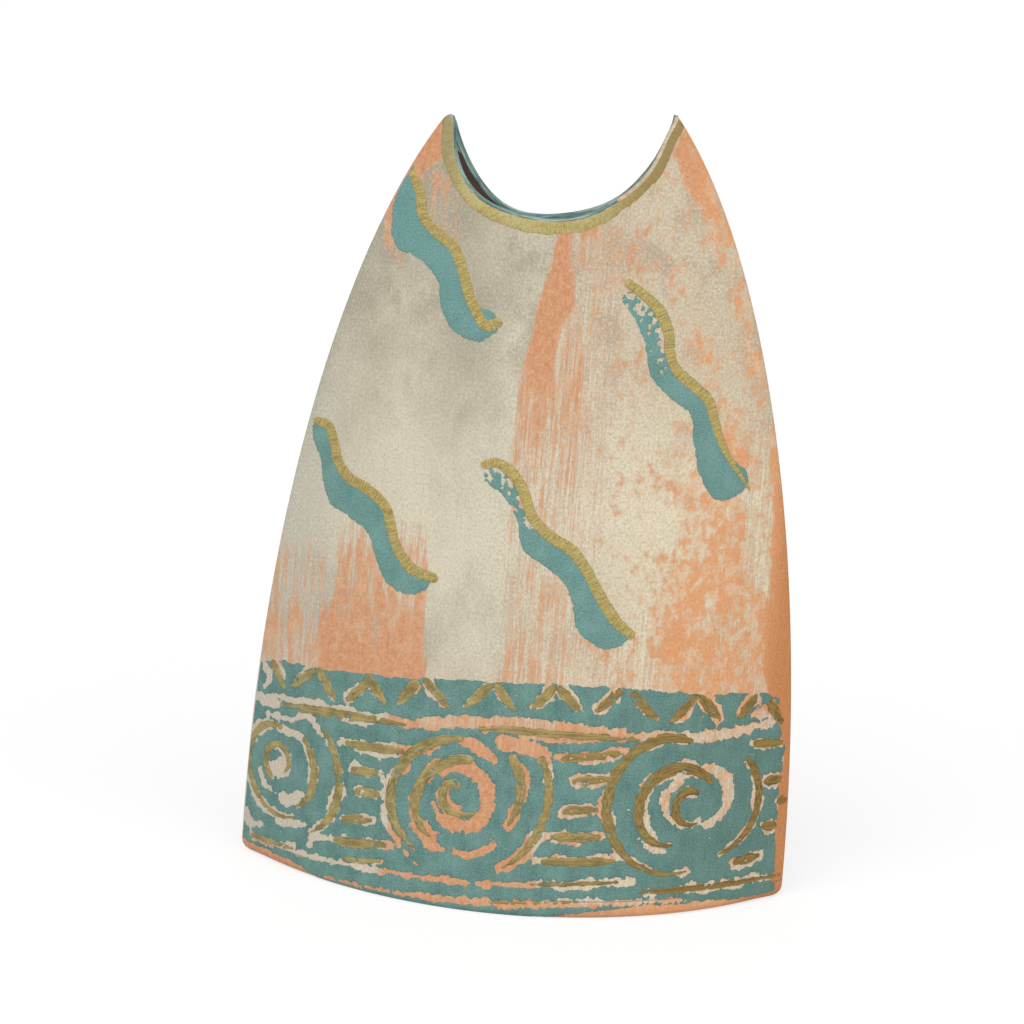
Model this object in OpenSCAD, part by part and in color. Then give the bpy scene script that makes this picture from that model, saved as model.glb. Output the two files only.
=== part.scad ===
// Slab-built pottery vase with a lens-shaped foot, two bent faces and a crescent mouth between two horns.
// The foot rests on z = 0, +X runs from the left seam to the right seam and the front face looks along -Y.
// Each face is a clay slab bent round a tilted cone, so its inner side and its coats are parallel cones.

/* [Body] */
// Height of the body at the taller horn
height = 280; // [250:1:310]
// Width of the foot from seam to seam
foot_width = 199; // [180:1:220]
// Depth of the foot from front to back
foot_depth = 96; // [84:1:108]
// Width of the body half way up
middle_width = 176; // [166:1:190]
// Depth of the uncut body at its full height
crest_depth = 7; // [6:0.5:9]
// Thickness of the wall slabs
wall = 3.5; // [2.5:0.1:4.5]
// Thickness of the base slab
base_thickness = 6; // [5:0.5:9]
// Rounding of the base slab's lower corners at the seams
foot_rounding = 4; // [2:0.5:4.5]
// Width of the clay coils pressed into the inner corners
coil = 6; // [4:0.5:8]
// Distance from the mouth down to the upper end of the seam coils
coil_drop = 20; // [12:1:40]

/* [Mouth] */
// Radius of the crescent cut in the front wall
front_mouth_radius = 39; // [36:0.5:41]
// Depth of the front crescent below the taller horn
front_mouth_depth = 41.5; // [38:0.5:46]
// Sideways shift of the front crescent
front_mouth_shift = -3; // [-5:0.5:1]
// Radius of the crescent cut in the back wall
back_mouth_radius = 37.2; // [35:0.2:40]
// Depth of the back crescent below the taller horn
back_mouth_depth = 39.2; // [36:0.2:44]
// Sideways shift of the back crescent
back_mouth_shift = -2; // [-4:0.5:2]

/* [Coats] */
// Clear seat between curved faces that lie on each other
seat = 0.15; // [0.1:0.05:0.3]
// Thickness of the teal slip
slip = 0.5; // [0.3:0.1:0.8]
// Thickness of the gold lustre
lustre = 0.4; // [0.3:0.1:0.6]
// Width of the gold line under the mouth
rim_line = 4.2; // [3:0.2:6]
// Bare clay between the mouth and its gold line
rim_gap = 0.4; // [0.3:0.1:1]
// Width of the gold edge of a wave
wave_edge = 3.6; // [2.5:0.1:5]
// Width of the teal part of a wave
wave_body = 10; // [7:0.5:13]
// Height of a wave's swing
wave_swing = 2.8; // [1.5:0.1:4]
// Brush width of the spirals
spiral_brush = 3.6; // [2.5:0.1:4.5]
// Brush width of the dashes and chevrons
dash_brush = 3; // [2:0.1:4]
// Brush width of the ruled lines
rule_brush = 2.6; // [2:0.1:3.5]

/* [Band] */
// Height of the band's upper edge
band_top = 80; // [72:1:90]
// Height of the band's lower edge
band_bottom = 3; // [2:0.5:5]
// Height of the upper ruled line
upper_rule = 64; // [60:1:67]
// Height of the lower ruled line
lower_rule = 9.5; // [8:0.5:12]
// Clear teal between neighbouring gold marks
mark_gap = 1.5; // [1:0.5:3]
// Pitch of the chevron strokes along the face
chevron_pitch = 12.5; // [10:0.5:16]
// Sideways run of one chevron stroke
chevron_run = 7; // [4:0.5:8]
// Number of dashes in a stack
dash_count = 5; // [3:1:6]
// Width of a spiral over its height
spiral_stretch = 1.2; // [1:0.05:1.3]

/* [Hidden] */

$fn = 240;
terracotta = [0.80, 0.47, 0.31];
teal = [0.32, 0.56, 0.53];
gold = [0.62, 0.54, 0.28];

// The cone of the front face. Its apex is below the foot and its axis tilts back by lean + flare.
lean = atan((foot_depth - crest_depth) / 2 / height);

// Twice the apex distance times tan(flare), which gives the foot its width
function apex_term(flare) =
    let (tilt = lean + flare, along = foot_depth / 2 * sin(tilt), across = foot_depth / 2 * cos(tilt))
    (pow(foot_width / 2, 2) + pow(across, 2) - pow(tan(flare) * along, 2)) / (foot_depth / 2 * cos(lean));

// Half width of the body half way up for a cone of this half angle
function middle_for(flare) =
    let (
        tilt = lean + flare,
        z = height / 2,
        along = foot_depth / 2 * sin(tilt) + z * cos(tilt),
        across = foot_depth / 2 * cos(tilt) - z * sin(tilt),
        spread = apex_term(flare) * (foot_depth / 2 * cos(lean) - z * sin(lean))
    )
    sqrt(max(0, pow(tan(flare) * along, 2) - pow(across, 2) + spread));

// Half angle that gives the body its width half way up, by halving the interval
function flare_between(low, high, steps) =
    let (middle = (low + high) / 2)
    steps == 0 ? middle
    : middle_for(middle) < middle_width / 2 ? flare_between(middle, high, steps - 1)
    : flare_between(low, middle, steps - 1);

flare = flare_between(2, 45, 40);
tilt = lean + flare;
apex_distance = apex_term(flare) / tan(flare) / 2;
apex_y = -foot_depth / 2 - apex_distance * sin(lean);
apex_z = -apex_distance * cos(lean);
cone_start = 0.5 * apex_distance;
cone_end = apex_distance + 1.4 * height;

// Half width of the front cone at depth y and height z, with its surface moved outwards by grow
function cone_half_width(y, z, grow) =
    let (
        shift = -grow / sin(flare),
        from_y = y - apex_y - shift * sin(tilt),
        from_z = z - apex_z - shift * cos(tilt),
        along = from_y * sin(tilt) + from_z * cos(tilt),
        across = from_y * cos(tilt) - from_z * sin(tilt)
    )
    sqrt(max(0, pow(along * tan(flare), 2) - pow(across, 2)));

// The face unrolled: s is the way along the face from its middle line at height z
function half_depth(z) = foot_depth / 2 - z * tan(lean);
function half_width(z) = cone_half_width(0, z, 0);
function bend_radius(z) = (pow(half_width(z), 2) + pow(half_depth(z), 2)) / half_depth(z) / 2;
function half_girth(z) = bend_radius(z) * asin(half_width(z) / bend_radius(z)) * PI / 180;
function face_point(p) = [bend_radius(p[1]) * sin(p[0] / bend_radius(p[1]) * 180 / PI), p[1]];
// A place on the face from its shares of the half girth and of the height
function placed(share) = [share[0] * half_girth(share[1] * height), share[1] * height];

// Brush strokes as outlines round a path of unrolled points
function unit(v) = v / norm(v);
function left_of(v) = [-v[1], v[0]];
function side_at(path, i) =
    left_of(unit(path[min(i + 1, len(path) - 1)] - path[max(i - 1, 0)]));
function beside(path, widths) =
    [for (i = [0 : len(path) - 1]) path[i] + side_at(path, i) * widths[i]];
function reversed(list) = [for (i = [len(list) - 1 : -1 : 0]) list[i]];
function between(near_side, far_side) =
    [for (p = concat(near_side, reversed(far_side))) face_point(p)];
// Share of the full width at t along a stroke, which is blunt and rounded at its ends
function brush_share(t) = 0.25 + 0.75 * pow(max(0, sin(180 * t)), 0.4);
function stroke_outline(path, brush) =
    let (last = len(path) - 1, half = [for (i = [0 : last]) brush / 2 * brush_share(i / last)])
    between(beside(path, half), beside(path, -half));

// Waves run down to the right from start to end, given as shares of the half girth and of the height
wave_start_shares = [[-0.88, 0.89], [0.37, 0.79], [-0.92, 0.58], [-0.2, 0.56]];
wave_end_shares = [[-0.24, 0.725], [0.85, 0.54], [-0.34, 0.405], [0.36, 0.36]];
wave_swings = 2;
wave_lead_share = 0.1;
wave_steps = 24;

// One line of a wave: shift moves it to the upper right, and spread does so by a brush's share
function wave_line(i, shift, spread) =
    let (
        start = placed(wave_start_shares[i]),
        end = placed(wave_end_shares[i]),
        side = left_of(unit(end - start))
    )
    [for (k = [0 : wave_steps])
        let (t = k / wave_steps, swing = wave_swing * cos(360 * wave_swings * (t - wave_lead_share)))
        start + t * (end - start) + side * (swing + shift + spread * brush_share(t))];

// Three spirals share the band, with a stack of dashes in each room between them
spiral_centre_shares = [-0.8, -0.17, 0.56];
spiral_turns = 2;
spiral_steps = 28;
spiral_z = (upper_rule + lower_rule) / 2;
spiral_reach = (upper_rule - lower_rule - rule_brush - spiral_brush) / 2 - mark_gap;
spiral_eye = spiral_brush * 0.9;
band_left_share = -0.96;
band_right_share = 0.92;
// Strokes above the band end at this share of the half girth
stroke_limit_share = 0.96;

function spiral_s(i) = spiral_centre_shares[i] * half_girth(spiral_z);
function spiral_path(i) =
    [for (k = [0 : spiral_turns * spiral_steps])
        let (turn = k / spiral_steps, r = spiral_eye + (spiral_reach - spiral_eye) * turn / spiral_turns)
        [spiral_s(i) + spiral_stretch * r * cos(360 * turn), spiral_z - r * sin(360 * turn)]];

dash_outer = spiral_stretch * spiral_reach + spiral_brush / 2 + mark_gap;
dash_low = lower_rule + rule_brush / 2 + mark_gap + dash_brush / 2;
dash_high = upper_rule - rule_brush / 2 - mark_gap - dash_brush / 2;
chevron_low = upper_rule + rule_brush / 2 + mark_gap / 2 + dash_brush / 2;
chevron_high = band_top - mark_gap / 2 - dash_brush / 2;

// Clay

// The solid inside the front cone, with its surface moved outwards by grow
module face_cone(grow) {
    shift = -grow / sin(flare);
    translate([0, apex_y + shift * sin(tilt), apex_z + shift * cos(tilt)])
        rotate([-tilt, 0, 0])
            translate([0, 0, cone_start])
                cylinder(
                    h = cone_end - cone_start,
                    r1 = cone_start * tan(flare),
                    r2 = cone_end * tan(flare)
                );
}

// A shape drawn on X and Z, pushed through the front half of the body
module front_prism() {
    rotate([90, 0, 0])
        linear_extrude(foot_depth)
            children();
}

// The half of space before the seams, between two heights
module front_half(low, high) {
    translate([-foot_width, -foot_depth, low])
        cube([2 * foot_width, foot_depth, high - low]);
}

module lens(grow, low, high) {
    intersection() {
        face_cone(grow);
        mirror([0, 1, 0]) face_cone(grow);
        translate([-foot_width, -foot_depth, low])
            cube([2 * foot_width, 2 * foot_depth, high - low]);
    }
}

module mouth_outline(radius, depth, shift) {
    translate([shift, height - depth + radius]) {
        circle(r = radius);
        translate([-radius, 0]) square([2 * radius, height]);
    }
}

// The front half of the walls before the mouth is cut
module wall_blank() {
    intersection() {
        difference() {
            face_cone(0);
            face_cone(-wall);
        }
        front_half(base_thickness, height);
    }
}

module wall_half(radius, depth, shift) {
    difference() {
        wall_blank();
        front_prism() mouth_outline(radius, depth, shift);
    }
}

module front_wall() {
    color(terracotta) wall_half(front_mouth_radius, front_mouth_depth, front_mouth_shift);
}

module back_wall() {
    color(terracotta)
        mirror([0, 1, 0]) wall_half(back_mouth_radius, back_mouth_depth, back_mouth_shift);
}

// Front view of the foot with its two lower corners rounded
module foot_outline() {
    inner = foot_width / 2 - foot_rounding;
    translate([-inner, 0]) square([2 * inner, base_thickness]);
    translate([-foot_width, foot_rounding]) square([2 * foot_width, base_thickness]);
    for (side = [-1, 1])
        translate([side * inner, foot_rounding]) circle(r = foot_rounding);
}

module base_slab() {
    color(terracotta)
        intersection() {
            lens(0, 0, base_thickness);
            translate([0, foot_depth, 0])
                rotate([90, 0, 0])
                    linear_extrude(2 * foot_depth)
                        foot_outline();
        }
}

coil_low = base_thickness + coil;
seam_coil_low = coil_low + seat;
coil_high = height - max(front_mouth_depth, back_mouth_depth) - coil_drop;
coil_steps = 12;

// The corner between the walls at one seam, out to the coil's free face
module seam_coil(side) {
    heights = [for (k = [0 : coil_steps]) seam_coil_low + (coil_high - seam_coil_low) * k / coil_steps];
    free_face = [for (z = heights) [cone_half_width(0, z, -wall) - coil, z]];
    outer = [[foot_width, coil_high], [foot_width, seam_coil_low]];
    intersection() {
        lens(-wall - seat, seam_coil_low, coil_high);
        translate([0, foot_depth, 0])
            rotate([90, 0, 0])
                linear_extrude(2 * foot_depth)
                    polygon([for (p = concat(free_face, outer)) [side * p[0], p[1]]]);
    }
}

module left_seam_coil() {
    color(terracotta) seam_coil(-1);
}

module right_seam_coil() {
    color(terracotta) seam_coil(1);
}

module base_coil() {
    color(terracotta)
        difference() {
            lens(-wall - seat, base_thickness, coil_low);
            lens(-wall - coil, base_thickness - 1, coil_low + 1);
        }
}

// Coats of slip and lustre

// A coat on the front face between two distances from the clay, where the drawn shape covers it
module coat(low, high) {
    intersection() {
        difference() {
            face_cone(high);
            face_cone(low);
        }
        front_prism() children();
    }
}

// The front of the body is drawn once, and turned half round for the back
module on_back() {
    rotate([0, 0, 180]) children();
}

// Teal slip over the cut edge of one wall
module rim_lip(radius, depth, shift) {
    intersection() {
        wall_blank();
        front_prism()
            difference() {
                mouth_outline(radius - seat, depth - seat, shift);
                mouth_outline(radius - seat - slip, depth - seat - slip, shift);
            }
    }
}

module front_rim_lip() {
    color(teal) rim_lip(front_mouth_radius, front_mouth_depth, front_mouth_shift);
}

module back_rim_lip() {
    color(teal)
        mirror([0, 1, 0]) rim_lip(back_mouth_radius, back_mouth_depth, back_mouth_shift);
}

// Gold line along the mouth on the outside of one wall
module rim_line_half(radius, depth, shift) {
    near = rim_gap;
    far = rim_gap + rim_line;
    intersection() {
        coat(seat, seat + lustre)
            difference() {
                mouth_outline(radius + far, depth + far, shift);
                mouth_outline(radius + near, depth + near, shift);
            }
        front_half(base_thickness, height - rim_line);
    }
}

module front_rim_line() {
    color(gold) rim_line_half(front_mouth_radius, front_mouth_depth, front_mouth_shift);
}

module back_rim_line() {
    color(gold)
        mirror([0, 1, 0]) rim_line_half(back_mouth_radius, back_mouth_depth, back_mouth_shift);
}

side_steps = 24;

// One side of a stretch of the face, at a share of the half girth
function side_line(share, low, high) =
    [for (k = [0 : side_steps])
        let (z = low + (high - low) * k / side_steps)
        face_point([share * half_girth(z), z])];

// A stretch of the face between two shares of the half girth and two heights
module stretch(left, right, low, high) {
    polygon(concat(side_line(right, low, high), reversed(side_line(left, low, high))));
}

// A wave's coat of this thickness, from its line at near to the side that spread gives
module wave_coat(i, thickness, near, spread) {
    intersection() {
        coat(seat, seat + thickness) polygon(between(wave_line(i, near, 0), wave_line(i, near, spread)));
        front_prism() stretch(-stroke_limit_share, stroke_limit_share, band_top, height);
    }
}

module wave(i) {
    color(teal) wave_coat(i, slip, -seat, -wave_body);
}

module wave_edge(i) {
    color(gold) wave_coat(i, slip + lustre, 0, wave_edge);
}

module band_outline() {
    stretch(band_left_share, band_right_share, band_bottom, band_top);
}

module band() {
    color(teal) coat(seat, seat + slip) band_outline();
}

// Gold marks lie on the teal and end where the band ends
module band_marks() {
    color(gold)
        intersection() {
            coat(slip + 2 * seat, slip + 2 * seat + lustre) children();
            front_prism() band_outline();
        }
}

module straight_mark(from, to, brush) {
    steps = 6;
    path = [for (k = [0 : steps]) from + (to - from) * k / steps];
    polygon(stroke_outline(path, brush));
}

module rules() {
    steps = 24;
    for (z = [upper_rule, lower_rule]) {
        reach = [band_left_share * 0.98, band_right_share * 0.98] * half_girth(z);
        path = [for (k = [0 : steps]) [reach[0] + (reach[1] - reach[0]) * k / steps, z]];
        band_marks() polygon(stroke_outline(path, rule_brush));
    }
}

module chevrons() {
    reach = band_right_share * half_girth(band_top) - chevron_pitch;
    count = floor(2 * reach / chevron_pitch);
    for (k = [0 : count]) {
        s = (k - count / 2) * chevron_pitch;
        run = (k % 2 == 0 ? 1 : -1) * chevron_run / 2;
        band_marks() straight_mark([s - run, chevron_low], [s + run, chevron_high], dash_brush);
    }
}

module dashes() {
    for (i = [0, 1])
        for (k = [0 : dash_count - 1]) {
            z = dash_low + (dash_high - dash_low) * k / (dash_count - 1);
            from = spiral_s(i) + dash_outer;
            to = spiral_s(i + 1) - dash_outer;
            band_marks() straight_mark([from, z], [to, z], dash_brush);
        }
}

module spiral(i) {
    band_marks() polygon(stroke_outline(spiral_path(i), spiral_brush));
}

front_wall();
back_wall();
base_slab();
left_seam_coil();
right_seam_coil();
base_coil();
front_rim_lip();
back_rim_lip();
front_rim_line();
back_rim_line();
wave(0);  // front_wave_1
wave(1);  // front_wave_2
wave(2);  // front_wave_3
wave(3);  // front_wave_4
wave_edge(0);  // front_wave_edge_1
wave_edge(1);  // front_wave_edge_2
wave_edge(2);  // front_wave_edge_3
wave_edge(3);  // front_wave_edge_4
band();  // front_band
rules();  // front_rules
chevrons();  // front_chevrons
dashes();  // front_dashes
spiral(0);  // front_spiral_left
spiral(1);  // front_spiral_middle
spiral(2);  // front_spiral_right
on_back() wave(0);  // back_wave_1
on_back() wave(1);  // back_wave_2
on_back() wave(2);  // back_wave_3
on_back() wave(3);  // back_wave_4
on_back() wave_edge(0);  // back_wave_edge_1
on_back() wave_edge(1);  // back_wave_edge_2
on_back() wave_edge(2);  // back_wave_edge_3
on_back() wave_edge(3);  // back_wave_edge_4
on_back() band();  // back_band
on_back() rules();  // back_rules
on_back() chevrons();  // back_chevrons
on_back() dashes();  // back_dashes
on_back() spiral(0);  // back_spiral_left
on_back() spiral(1);  // back_spiral_middle
on_back() spiral(2);  // back_spiral_right
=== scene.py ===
"""Looks of a slab-built pottery vase: bent clay slabs, a brushed wash, teal slip and gold lustre strokes.

Shapes are worked out in millimetres in the frame of the solids. The foot rests on z = 0, the front face
looks along -Y, and s is the way along a face from its middle line, with the face unrolled.
"""
import math
from functools import partial

import bmesh
import bpy
import numpy as np
from mathutils import Matrix, Vector


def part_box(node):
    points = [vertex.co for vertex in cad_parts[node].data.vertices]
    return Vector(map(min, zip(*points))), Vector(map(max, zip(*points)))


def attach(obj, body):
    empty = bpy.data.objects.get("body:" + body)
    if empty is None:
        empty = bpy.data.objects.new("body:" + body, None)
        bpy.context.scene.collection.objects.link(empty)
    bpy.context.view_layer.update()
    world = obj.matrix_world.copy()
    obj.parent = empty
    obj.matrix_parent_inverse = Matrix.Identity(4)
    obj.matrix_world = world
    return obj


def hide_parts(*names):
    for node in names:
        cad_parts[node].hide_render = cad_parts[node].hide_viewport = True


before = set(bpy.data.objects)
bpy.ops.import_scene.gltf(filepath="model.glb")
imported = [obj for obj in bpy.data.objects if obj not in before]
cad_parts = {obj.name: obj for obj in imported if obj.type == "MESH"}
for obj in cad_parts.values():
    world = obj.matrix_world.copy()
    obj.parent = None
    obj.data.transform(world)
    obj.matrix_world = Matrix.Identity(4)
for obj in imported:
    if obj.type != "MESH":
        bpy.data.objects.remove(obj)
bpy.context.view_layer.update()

MM = 0.001

# Sizes of the solids
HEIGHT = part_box("front_wall")[1].z / MM
BASE_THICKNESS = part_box("base_slab")[1].z / MM
FOOT_DEPTH = (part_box("base_slab")[1].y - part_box("base_slab")[0].y) / MM
FOOT_WIDTH = 199.0
MIDDLE_WIDTH = 176.0
CREST_DEPTH = 7.0
WALL = 3.5

# Softness of the modelled clay
RIM_WALL = 2.2
RIM_THINNING = 26.0
RIM_BULGE = 1.2
FOOT_CORNER = 4.0
FOOT_EDGE = 2.4
SEAM_ROUND = 1.2
SEAM_FADE = 5.0
SWELL = 0.35
SWELL_LENGTH = 42.0
SWELL_FADE = 8.0
SEAM_GAP = 0.02

# The crescent cut of each wall, with True for the back: its middle, its radius and bumps of its edge,
# each with an angle and a spread in degrees and a height
MOUTHS = {
    False: ((-3.0, 279.0), 39.0, ((229, 22, 3.0), (194, 9, -1.5), (308, 15, -0.6), (360, 8, 2.4))),
    True: ((-2.0, 279.0), 38.2, ((246, 24, 3.0), (325, 15, -0.6), (360, 10, 1.7), (180, 14, 0.9))),
}

# The left horn's rounded tip: its middle, its height in front and at the back, and how fast it falls off
HORN_MIDDLE = -40.3
HORN_TOP = {False: 273.6, True: 272.2}
HORN_FALL = 0.2
HORN_DROP = 4.0

# Coats: the steps of their grids, their thickness and how it falls off towards their edges, how far they
# reach into the clay and how far they stay from the seams
COAT_STEP = 0.5
WAVE_STEP = 0.35
SLIP = 0.2
LUSTRE = 0.1
COAT_EDGE = 0.8
COAT_EDGE_SHARE = 0.3
COAT_SINK = 0.25
SEAM_CLEAR = 0.8

# Names of the two walls and the way out of each, with True for the back
SIDE = {False: "front", True: "back"}
OUTWARD = {False: -1, True: 1}

# Keeps a division from being by zero
TINY = 1e-9


def unit(vectors):
    return vectors / np.maximum(np.linalg.norm(vectors, axis=-1, keepdims=True), TINY)


def smooth(low, high, value):
    """A soft step from 0 at low to 1 at high."""
    t = np.clip((value - low) / (high - low), 0, 1)
    return t * t * (3 - 2 * t)


# Random surfaces

LATTICE_SIDE = 256
lattice = np.random.default_rng(11).random((LATTICE_SIDE, LATTICE_SIDE))


def noise(a, b, seed):
    """Smooth random values from 0 to 1, about one bump for each unit of a and b."""
    a = np.asarray(a, float) + 17.37 * seed
    b = np.asarray(b, float) + 31.71 * seed
    column = np.floor(a).astype(int)
    row = np.floor(b).astype(int)
    across = smooth(0, 1, a - column)
    along = smooth(0, 1, b - row)
    left = column % LATTICE_SIDE
    right = (column + 1) % LATTICE_SIDE
    low = row % LATTICE_SIDE
    high = (row + 1) % LATTICE_SIDE
    lower = lattice[left, low] * (1 - across) + lattice[right, low] * across
    upper = lattice[left, high] * (1 - across) + lattice[right, high] * across
    return lower * (1 - along) + upper * along


def rough(a, b, seed):
    """Three layers of noise, each turned against the one before and half as large, from -0.5 to 0.5."""
    total = 0
    size = 4 / 7
    for layer in range(3):
        total = total + size * (noise(a, b, seed + layer) - 0.5)
        a, b = 1.6 * a - 1.2 * b, 1.2 * a + 1.6 * b
        size /= 2
    return total


def ragged(a, b, seed, layers):
    """Roughness of an edge: a sum of layers, each with a height and a size along a and b."""
    total = 0
    for k, (height, wide, high) in enumerate(layers):
        total = total + height * rough(a / wide, b / high, seed + 3 * k)
    return total


def holes(a, b, seed, kind, more=0):
    """Above zero in the holes of a coat: a kind has its steepness, its size along a and b and its level."""
    steep, wide, high, level = kind
    return steep * (rough(a / wide, b / high, seed) + more - level)


# The body's shape

LEAN = math.atan((FOOT_DEPTH - CREST_DEPTH) / 2 / HEIGHT)


def cone(flare):
    """Tilt and apex of the front cone of this half angle that gives the foot its width and depth."""
    tilt = LEAN + flare
    along = FOOT_DEPTH / 2 * math.sin(tilt)
    across = FOOT_DEPTH / 2 * math.cos(tilt)
    wide = (FOOT_WIDTH / 2) ** 2 + across ** 2 - (math.tan(flare) * along) ** 2
    distance = wide / (FOOT_DEPTH * math.cos(LEAN) * math.tan(flare))
    return tilt, -FOOT_DEPTH / 2 - distance * math.sin(LEAN), -distance * math.cos(LEAN)


def cone_width(z, flare):
    """Half width at height z of the cone of this half angle, in the seam plane."""
    tilt, apex_y, apex_z = cone(flare)
    along = -apex_y * math.sin(tilt) + (z - apex_z) * math.cos(tilt)
    across = -apex_y * math.cos(tilt) - (z - apex_z) * math.sin(tilt)
    return np.sqrt(np.maximum((along * math.tan(flare)) ** 2 - across ** 2, 0))


def solve_flare():
    """Half angle that gives the body its width half way up, by halving the interval."""
    low = math.radians(2)
    high = math.radians(45)
    for _ in range(50):
        middle = (low + high) / 2
        if cone_width(HEIGHT / 2, middle) < MIDDLE_WIDTH / 2:
            low = middle
        else:
            high = middle
    return low


FLARE = solve_flare()
TILT, APEX_Y, APEX_Z = cone(FLARE)


def cone_depth(x, z, grow):
    """How far the front cone stands before the seam plane, with its surface moved outwards by grow."""
    shift = -grow / math.sin(FLARE)
    start = APEX_Y + shift * math.sin(TILT)
    rise = z - APEX_Z - shift * math.cos(TILT)
    slope = math.tan(FLARE) ** 2
    sine = math.sin(TILT)
    cosine = math.cos(TILT)
    square = cosine ** 2 - slope * sine ** 2
    single = -2 * rise * sine * cosine * (1 + slope)
    constant = rise ** 2 * sine ** 2 + x ** 2 - slope * rise ** 2 * cosine ** 2
    root = np.sqrt(np.maximum(single ** 2 - 4 * square * constant, 0))
    return -(start + (-single - root) / (2 * square))


def half_width(z):
    return cone_width(z, FLARE)


def half_depth(z):
    return FOOT_DEPTH / 2 - z * math.tan(LEAN)


def bend_radius(z):
    return (half_width(z) ** 2 + half_depth(z) ** 2) / half_depth(z) / 2


def half_girth(z):
    return bend_radius(z) * np.arcsin(half_width(z) / bend_radius(z))


def rounding(z, radius):
    """How far a rounded lower edge of this radius has drawn in at height z."""
    below = np.clip(radius - z, 0, radius)
    return radius - np.sqrt(radius ** 2 - below ** 2)


def foot_share(z):
    """Share of the full width that the rounded lower corners leave."""
    return 1 - rounding(z, FOOT_CORNER) / half_width(z)


def section_x(s, z):
    """Place across the body of the point s along the unrolled face."""
    return bend_radius(z) * np.sin(s / bend_radius(z)) * foot_share(z)


def outer_depth(x, z, back):
    """Depth of the outer face, with softened seams, a softened foot and slow hand-made swells."""
    room = np.maximum(half_width(z) * foot_share(z) - np.abs(x), 0)
    sharp = np.maximum(cone_depth(x / foot_share(z), z, 0), 0)
    soft = np.sqrt(sharp ** 2 + 2 * SEAM_ROUND * room * np.exp(-room / SEAM_FADE))
    inner_share = smooth(0, SWELL_FADE, room)
    swell = 2 * SWELL * (noise(x / SWELL_LENGTH, z / SWELL_LENGTH, 5 + back) - 0.5)
    return soft + inner_share * (swell - rounding(z, FOOT_EDGE))


def inner_depth(x, z, thickness):
    return np.maximum(cone_depth(x, z, -thickness), SEAM_GAP)


def outer_face(x, z, back):
    return np.stack([x, OUTWARD[back] * outer_depth(x, z, back), z], -1)


def inner_face(x, z, thickness, back):
    depth = np.minimum(inner_depth(x, z, thickness), outer_depth(x, z, back))
    return np.stack([x, OUTWARD[back] * depth, z], -1)


def face(s, z, back):
    """Points of the outer face. The back's decoration runs the other way across the body."""
    z = np.asarray(z, float)
    reach = half_girth(z)
    return outer_face(-OUTWARD[back] * section_x(np.clip(s, -reach, reach), z), z, back)


def normals(place, a, b):
    """Directions square to a surface, from small steps along it."""
    small = 0.15
    across = place(a + small, b) - place(a - small, b)
    along = place(a, b + small) - place(a, b - small)
    return unit(np.cross(across, along))


def mouth_radius(angle, back):
    """Radius of the crescent, which was cut by hand and isn't quite round."""
    _, radius, bumps = MOUTHS[back]
    for middle, width, rise in bumps:
        turn = (np.degrees(angle) - middle + 180) % 360 - 180
        radius = radius + rise * np.exp(-(turn / width) ** 2)
    return radius


def below_tip(x, z, back):
    """How far a point of the left half lies below the left horn's rounded tip."""
    fall = np.minimum(HORN_FALL * (x - HORN_MIDDLE) ** 2, HORN_DROP)
    return np.where(x < MOUTHS[back][0][0], HORN_TOP[back] - fall - z, HEIGHT)


def crescent_reach(x, z, back):
    """Distance of a point outside the crescent."""
    (middle_x, middle_z), radius, _ = MOUTHS[back]
    angle = np.arctan2(z - middle_z, x - middle_x)
    reach = np.hypot(x - middle_x, z - middle_z) - mouth_radius(angle, back)
    open_above = (z > middle_z) & (np.abs(x - middle_x) < radius)
    return np.where(open_above, -1, reach)


def mouth_reach(x, z, back):
    """Distance of a point inside the wall's upper edge, and its angle round the crescent."""
    middle_x, middle_z = MOUTHS[back][0]
    angle = np.arctan2(z - middle_z, x - middle_x)
    return np.minimum(crescent_reach(x, z, back), below_tip(x, z, back)), angle


# Meshes

def new_mesh(name, points, faces, materials, slots=None):
    mesh = bpy.data.meshes.new(name)
    mesh.from_pydata((np.asarray(points) * MM).tolist(), [], faces)
    for material in materials:
        mesh.materials.append(material)
    if slots is not None:
        mesh.polygons.foreach_set("material_index", np.asarray(slots, np.int32))
    mesh.shade_smooth()
    piece = bpy.data.objects.new(name, mesh)
    bpy.context.scene.collection.objects.link(piece)
    return piece


def give(piece, name, kind, values):
    """Stores a value for each point, which the materials read."""
    attribute = piece.data.attributes.new(name, kind, "POINT")
    slot = "vector" if kind == "FLOAT_VECTOR" else "value"
    attribute.data.foreach_set(slot, np.asarray(values, np.float32).ravel())


def weld(piece, distance):
    """Joins points that lie on each other and turns all faces outwards."""
    work = bmesh.new()
    work.from_mesh(piece.data)
    bmesh.ops.remove_doubles(work, verts=work.verts, dist=distance * MM)
    bmesh.ops.recalc_face_normals(work, faces=work.faces)
    work.to_mesh(piece.data)
    work.free()


def dress(piece, slot, *nodes):
    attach(piece, "root")
    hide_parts(*nodes)
    return piece


def grid_faces(columns, rows):
    """Quads of a grid whose rows close into a ring."""
    column, row = np.meshgrid(np.arange(columns - 1), np.arange(rows), indexing="ij")
    after = (row + 1) % rows
    quads = np.stack([column * rows + row, (column + 1) * rows + row,
                      (column + 1) * rows + after, column * rows + after], -1)
    return quads.reshape(-1, 4)


def turned(triangles, odd):
    """Each triangle with its odd corner first."""
    first = np.argmax(odd, axis=1)[:, None]
    order = (first + np.arange(3)) % 3
    return np.take_along_axis(triangles, order, axis=1)


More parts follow.
